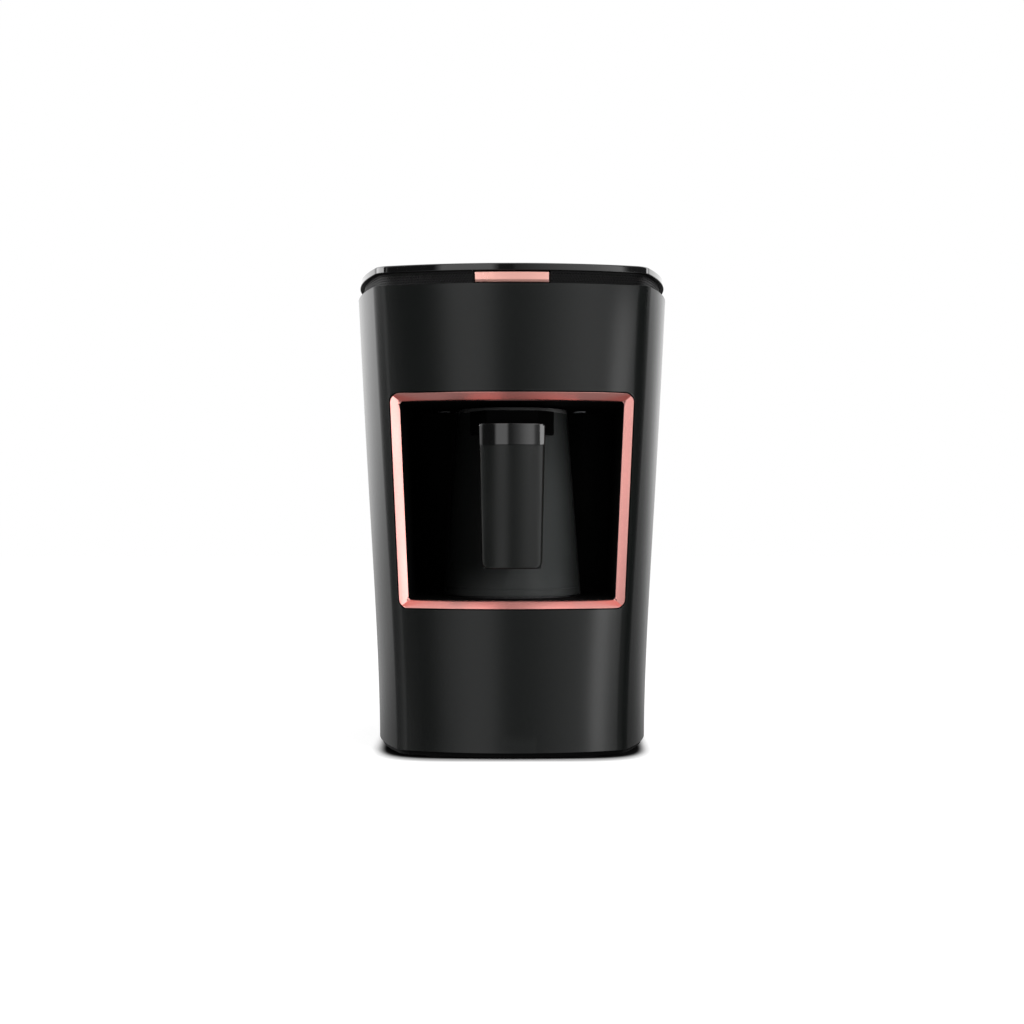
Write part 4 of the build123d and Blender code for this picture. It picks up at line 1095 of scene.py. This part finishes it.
def makeFloor():
    half, cells = studio["floorHalf"], studio["floorCells"]
    steps = [-half + 2 * half * step / cells for step in range(cells + 1)]
    points = [(x, y, 0.0) for y in steps for x in steps]
    stride = cells + 1
    corners = [row * stride + column for row in range(cells) for column in range(cells)]
    faces = [[corner, corner + 1, corner + stride + 1, corner + stride] for corner in corners]
    floor = newObject("studioFloor", newMesh("studioFloor", points, faces))
    material = bpy.data.materials.new("studioFloor")
    material.use_nodes = True
    tree = material.node_tree
    tree.nodes.clear()
    # the floor's colour is painted dark under and round the casing's foot: a painted contact shadow
    colour = mixColours(tree, footShadowMask(tree, "shade"), studio["paintedFloorShadow"], studio["floorColour"])
    matt = addNode(tree, "BsdfDiffuse", {"Color": colour})
    seen = seenDirectly(tree, addNode(tree, "LightPath").outputs)
    # near the foot the white glow fades out, which paints the contact shadow round it
    glowing = calculate(tree, "MULTIPLY", seen, footShadowMask(tree, "glow"))
    strength = calculate(tree, "MULTIPLY", glowing, studio["floorWhite"])
    glow = addNode(tree, "Emission", {"Strength": strength})
    both = addNode(tree, "AddShader", {0: matt.outputs[0], 1: glow.outputs[0]})
    out = addNode(tree, "OutputMaterial", {"Surface": both.outputs[0]})
    out.is_active_output = True
    floor.data.materials.append(material)
    floor.visible_glossy = False  # reflections see the panels' lower ends instead


def ringLevel(tree, turn, ring):
    # the brightness of one ring of panels at a bearing given as a share of the whole turn
    panels = addNode(tree, "ValToRGB", {"Fac": turn})
    most = max(level for angle, level in ring)
    stops = panels.color_ramp.elements
    for angle, level in ring:
        place = (angle + 180) / 360
        stop = stops[0] if place == 0 else stops[-1] if place == 1 else stops.new(place)
        stop.color = (level / most, level / most, level / most, 1)
    return calculate(tree, "MULTIPLY", panels.outputs["Color"], most)


def blendByHeight(tree, height, span, under, over):
    share = mapRange(tree, height, *span, curve="SMOOTHSTEP")
    return addNode(tree, "Mix", {"Factor": share, "A": under, "B": over}).outputs["Result"]


def makeWorld():
    # white to the camera; in reflections a ring of soft panels and a bright ceiling
    world = bpy.data.worlds.new("studioWorld")
    bpy.context.scene.world = world
    world.use_nodes = True
    tree = world.node_tree
    tree.nodes.clear()
    place = addNode(tree, "TexCoord").outputs["Generated"]
    parts = addNode(tree, "SeparateXYZ", {"Vector": place}).outputs
    front = calculate(tree, "MULTIPLY", parts["Y"], -1.0)
    turn = mapRange(tree, calculate(tree, "ARCTAN2", parts["X"], front), start=-pi, end=pi)
    around = ringLevel(tree, turn, studio["levelRing"])
    for name in ("mid", "low", "high"):
        ring = ringLevel(tree, turn, studio[name + "Ring"])
        around = blendByHeight(tree, parts["Z"], studio[name + "From"], around, ring)
    for name in ("overhead", "crest", "zenith", "underfoot"):
        around = blendByHeight(tree, parts["Z"], studio[name + "From"], around, studio[name])
    rays = addNode(tree, "LightPath").outputs
    mirrored = calculate(tree, "MULTIPLY", rays["Is Glossy Ray"], around)
    white = calculate(tree, "MAXIMUM", seenDirectly(tree, rays), mirrored)
    room = calculate(tree, "MULTIPLY", rays["Is Diffuse Ray"], studio["roomLight"])
    strength = calculate(tree, "MAXIMUM", white, room)
    sky = addNode(tree, "Background", {"Color": (1, 1, 1, 1), "Strength": strength})
    addNode(tree, "OutputWorld", {"Surface": sky.outputs[0]})


# The side strip stands close enough that the frame's left bar and the casing's right end both
# mirror it, each in its own direction. It ends below the top plate, which would mirror it too.
lamps = {
    "keyPanel": dict(azimuth=31, distance=1.5, level=0.30, size=(0.35, 0.46), power=21.0),
    "fillPanel": dict(azimuth=-50, distance=1.8, level=0.5, size=(0.9, 0.9), power=0.8),
    "overhead": dict(azimuth=0, distance=0.35, level=1.5, size=(1.4, 1.4), power=7.0),
    "sideStrip": dict(
        azimuth=37.5, distance=0.4215, level=0.0985, size=(0.045, 0.327), power=0.111, mirrored=True
    ),
    "windowStrip": dict(azimuth=32.6, distance=0.0995, level=0.127, size=(0.010, 0.085), power=0.056),
}
lampTarget = Vector((0, 0, 0.115))
view = {"distance": 1.003, "level": 0.1342, "lens": 59.2, "sensor": 36.0, "near": 0.05, "far": 50}


def makeLamps():
    for name, look in lamps.items():
        light = bpy.data.lights.new(name, "AREA")
        light.shape = "RECTANGLE"
        light.size, light.size_y = look["size"]
        light.energy = look["power"]
        lamp = newObject(name, light)
        angle = radians(look["azimuth"])
        lamp.location = (look["distance"] * sin(angle), -look["distance"] * cos(angle), look["level"])
        lamp.rotation_euler = (lampTarget - lamp.location).to_track_quat("-Z", "Y").to_euler()
        lamp.visible_camera = False
        lamp.visible_glossy = look.get("mirrored", False)


def makeCamera():
    data = bpy.data.cameras.new("frontCamera")
    data.lens, data.sensor_width = view["lens"], view["sensor"]
    data.clip_start, data.clip_end = view["near"], view["far"]
    camera = newObject("frontCamera", data)
    camera.location = (0, -view["distance"], view["level"])
    camera.rotation_euler = (pi / 2, 0, 0)
    bpy.context.scene.camera = camera


makeFloor()
makeWorld()
makeLamps()
makeCamera()
bpy.context.scene.view_settings.view_transform = "Standard"
print("studio made")
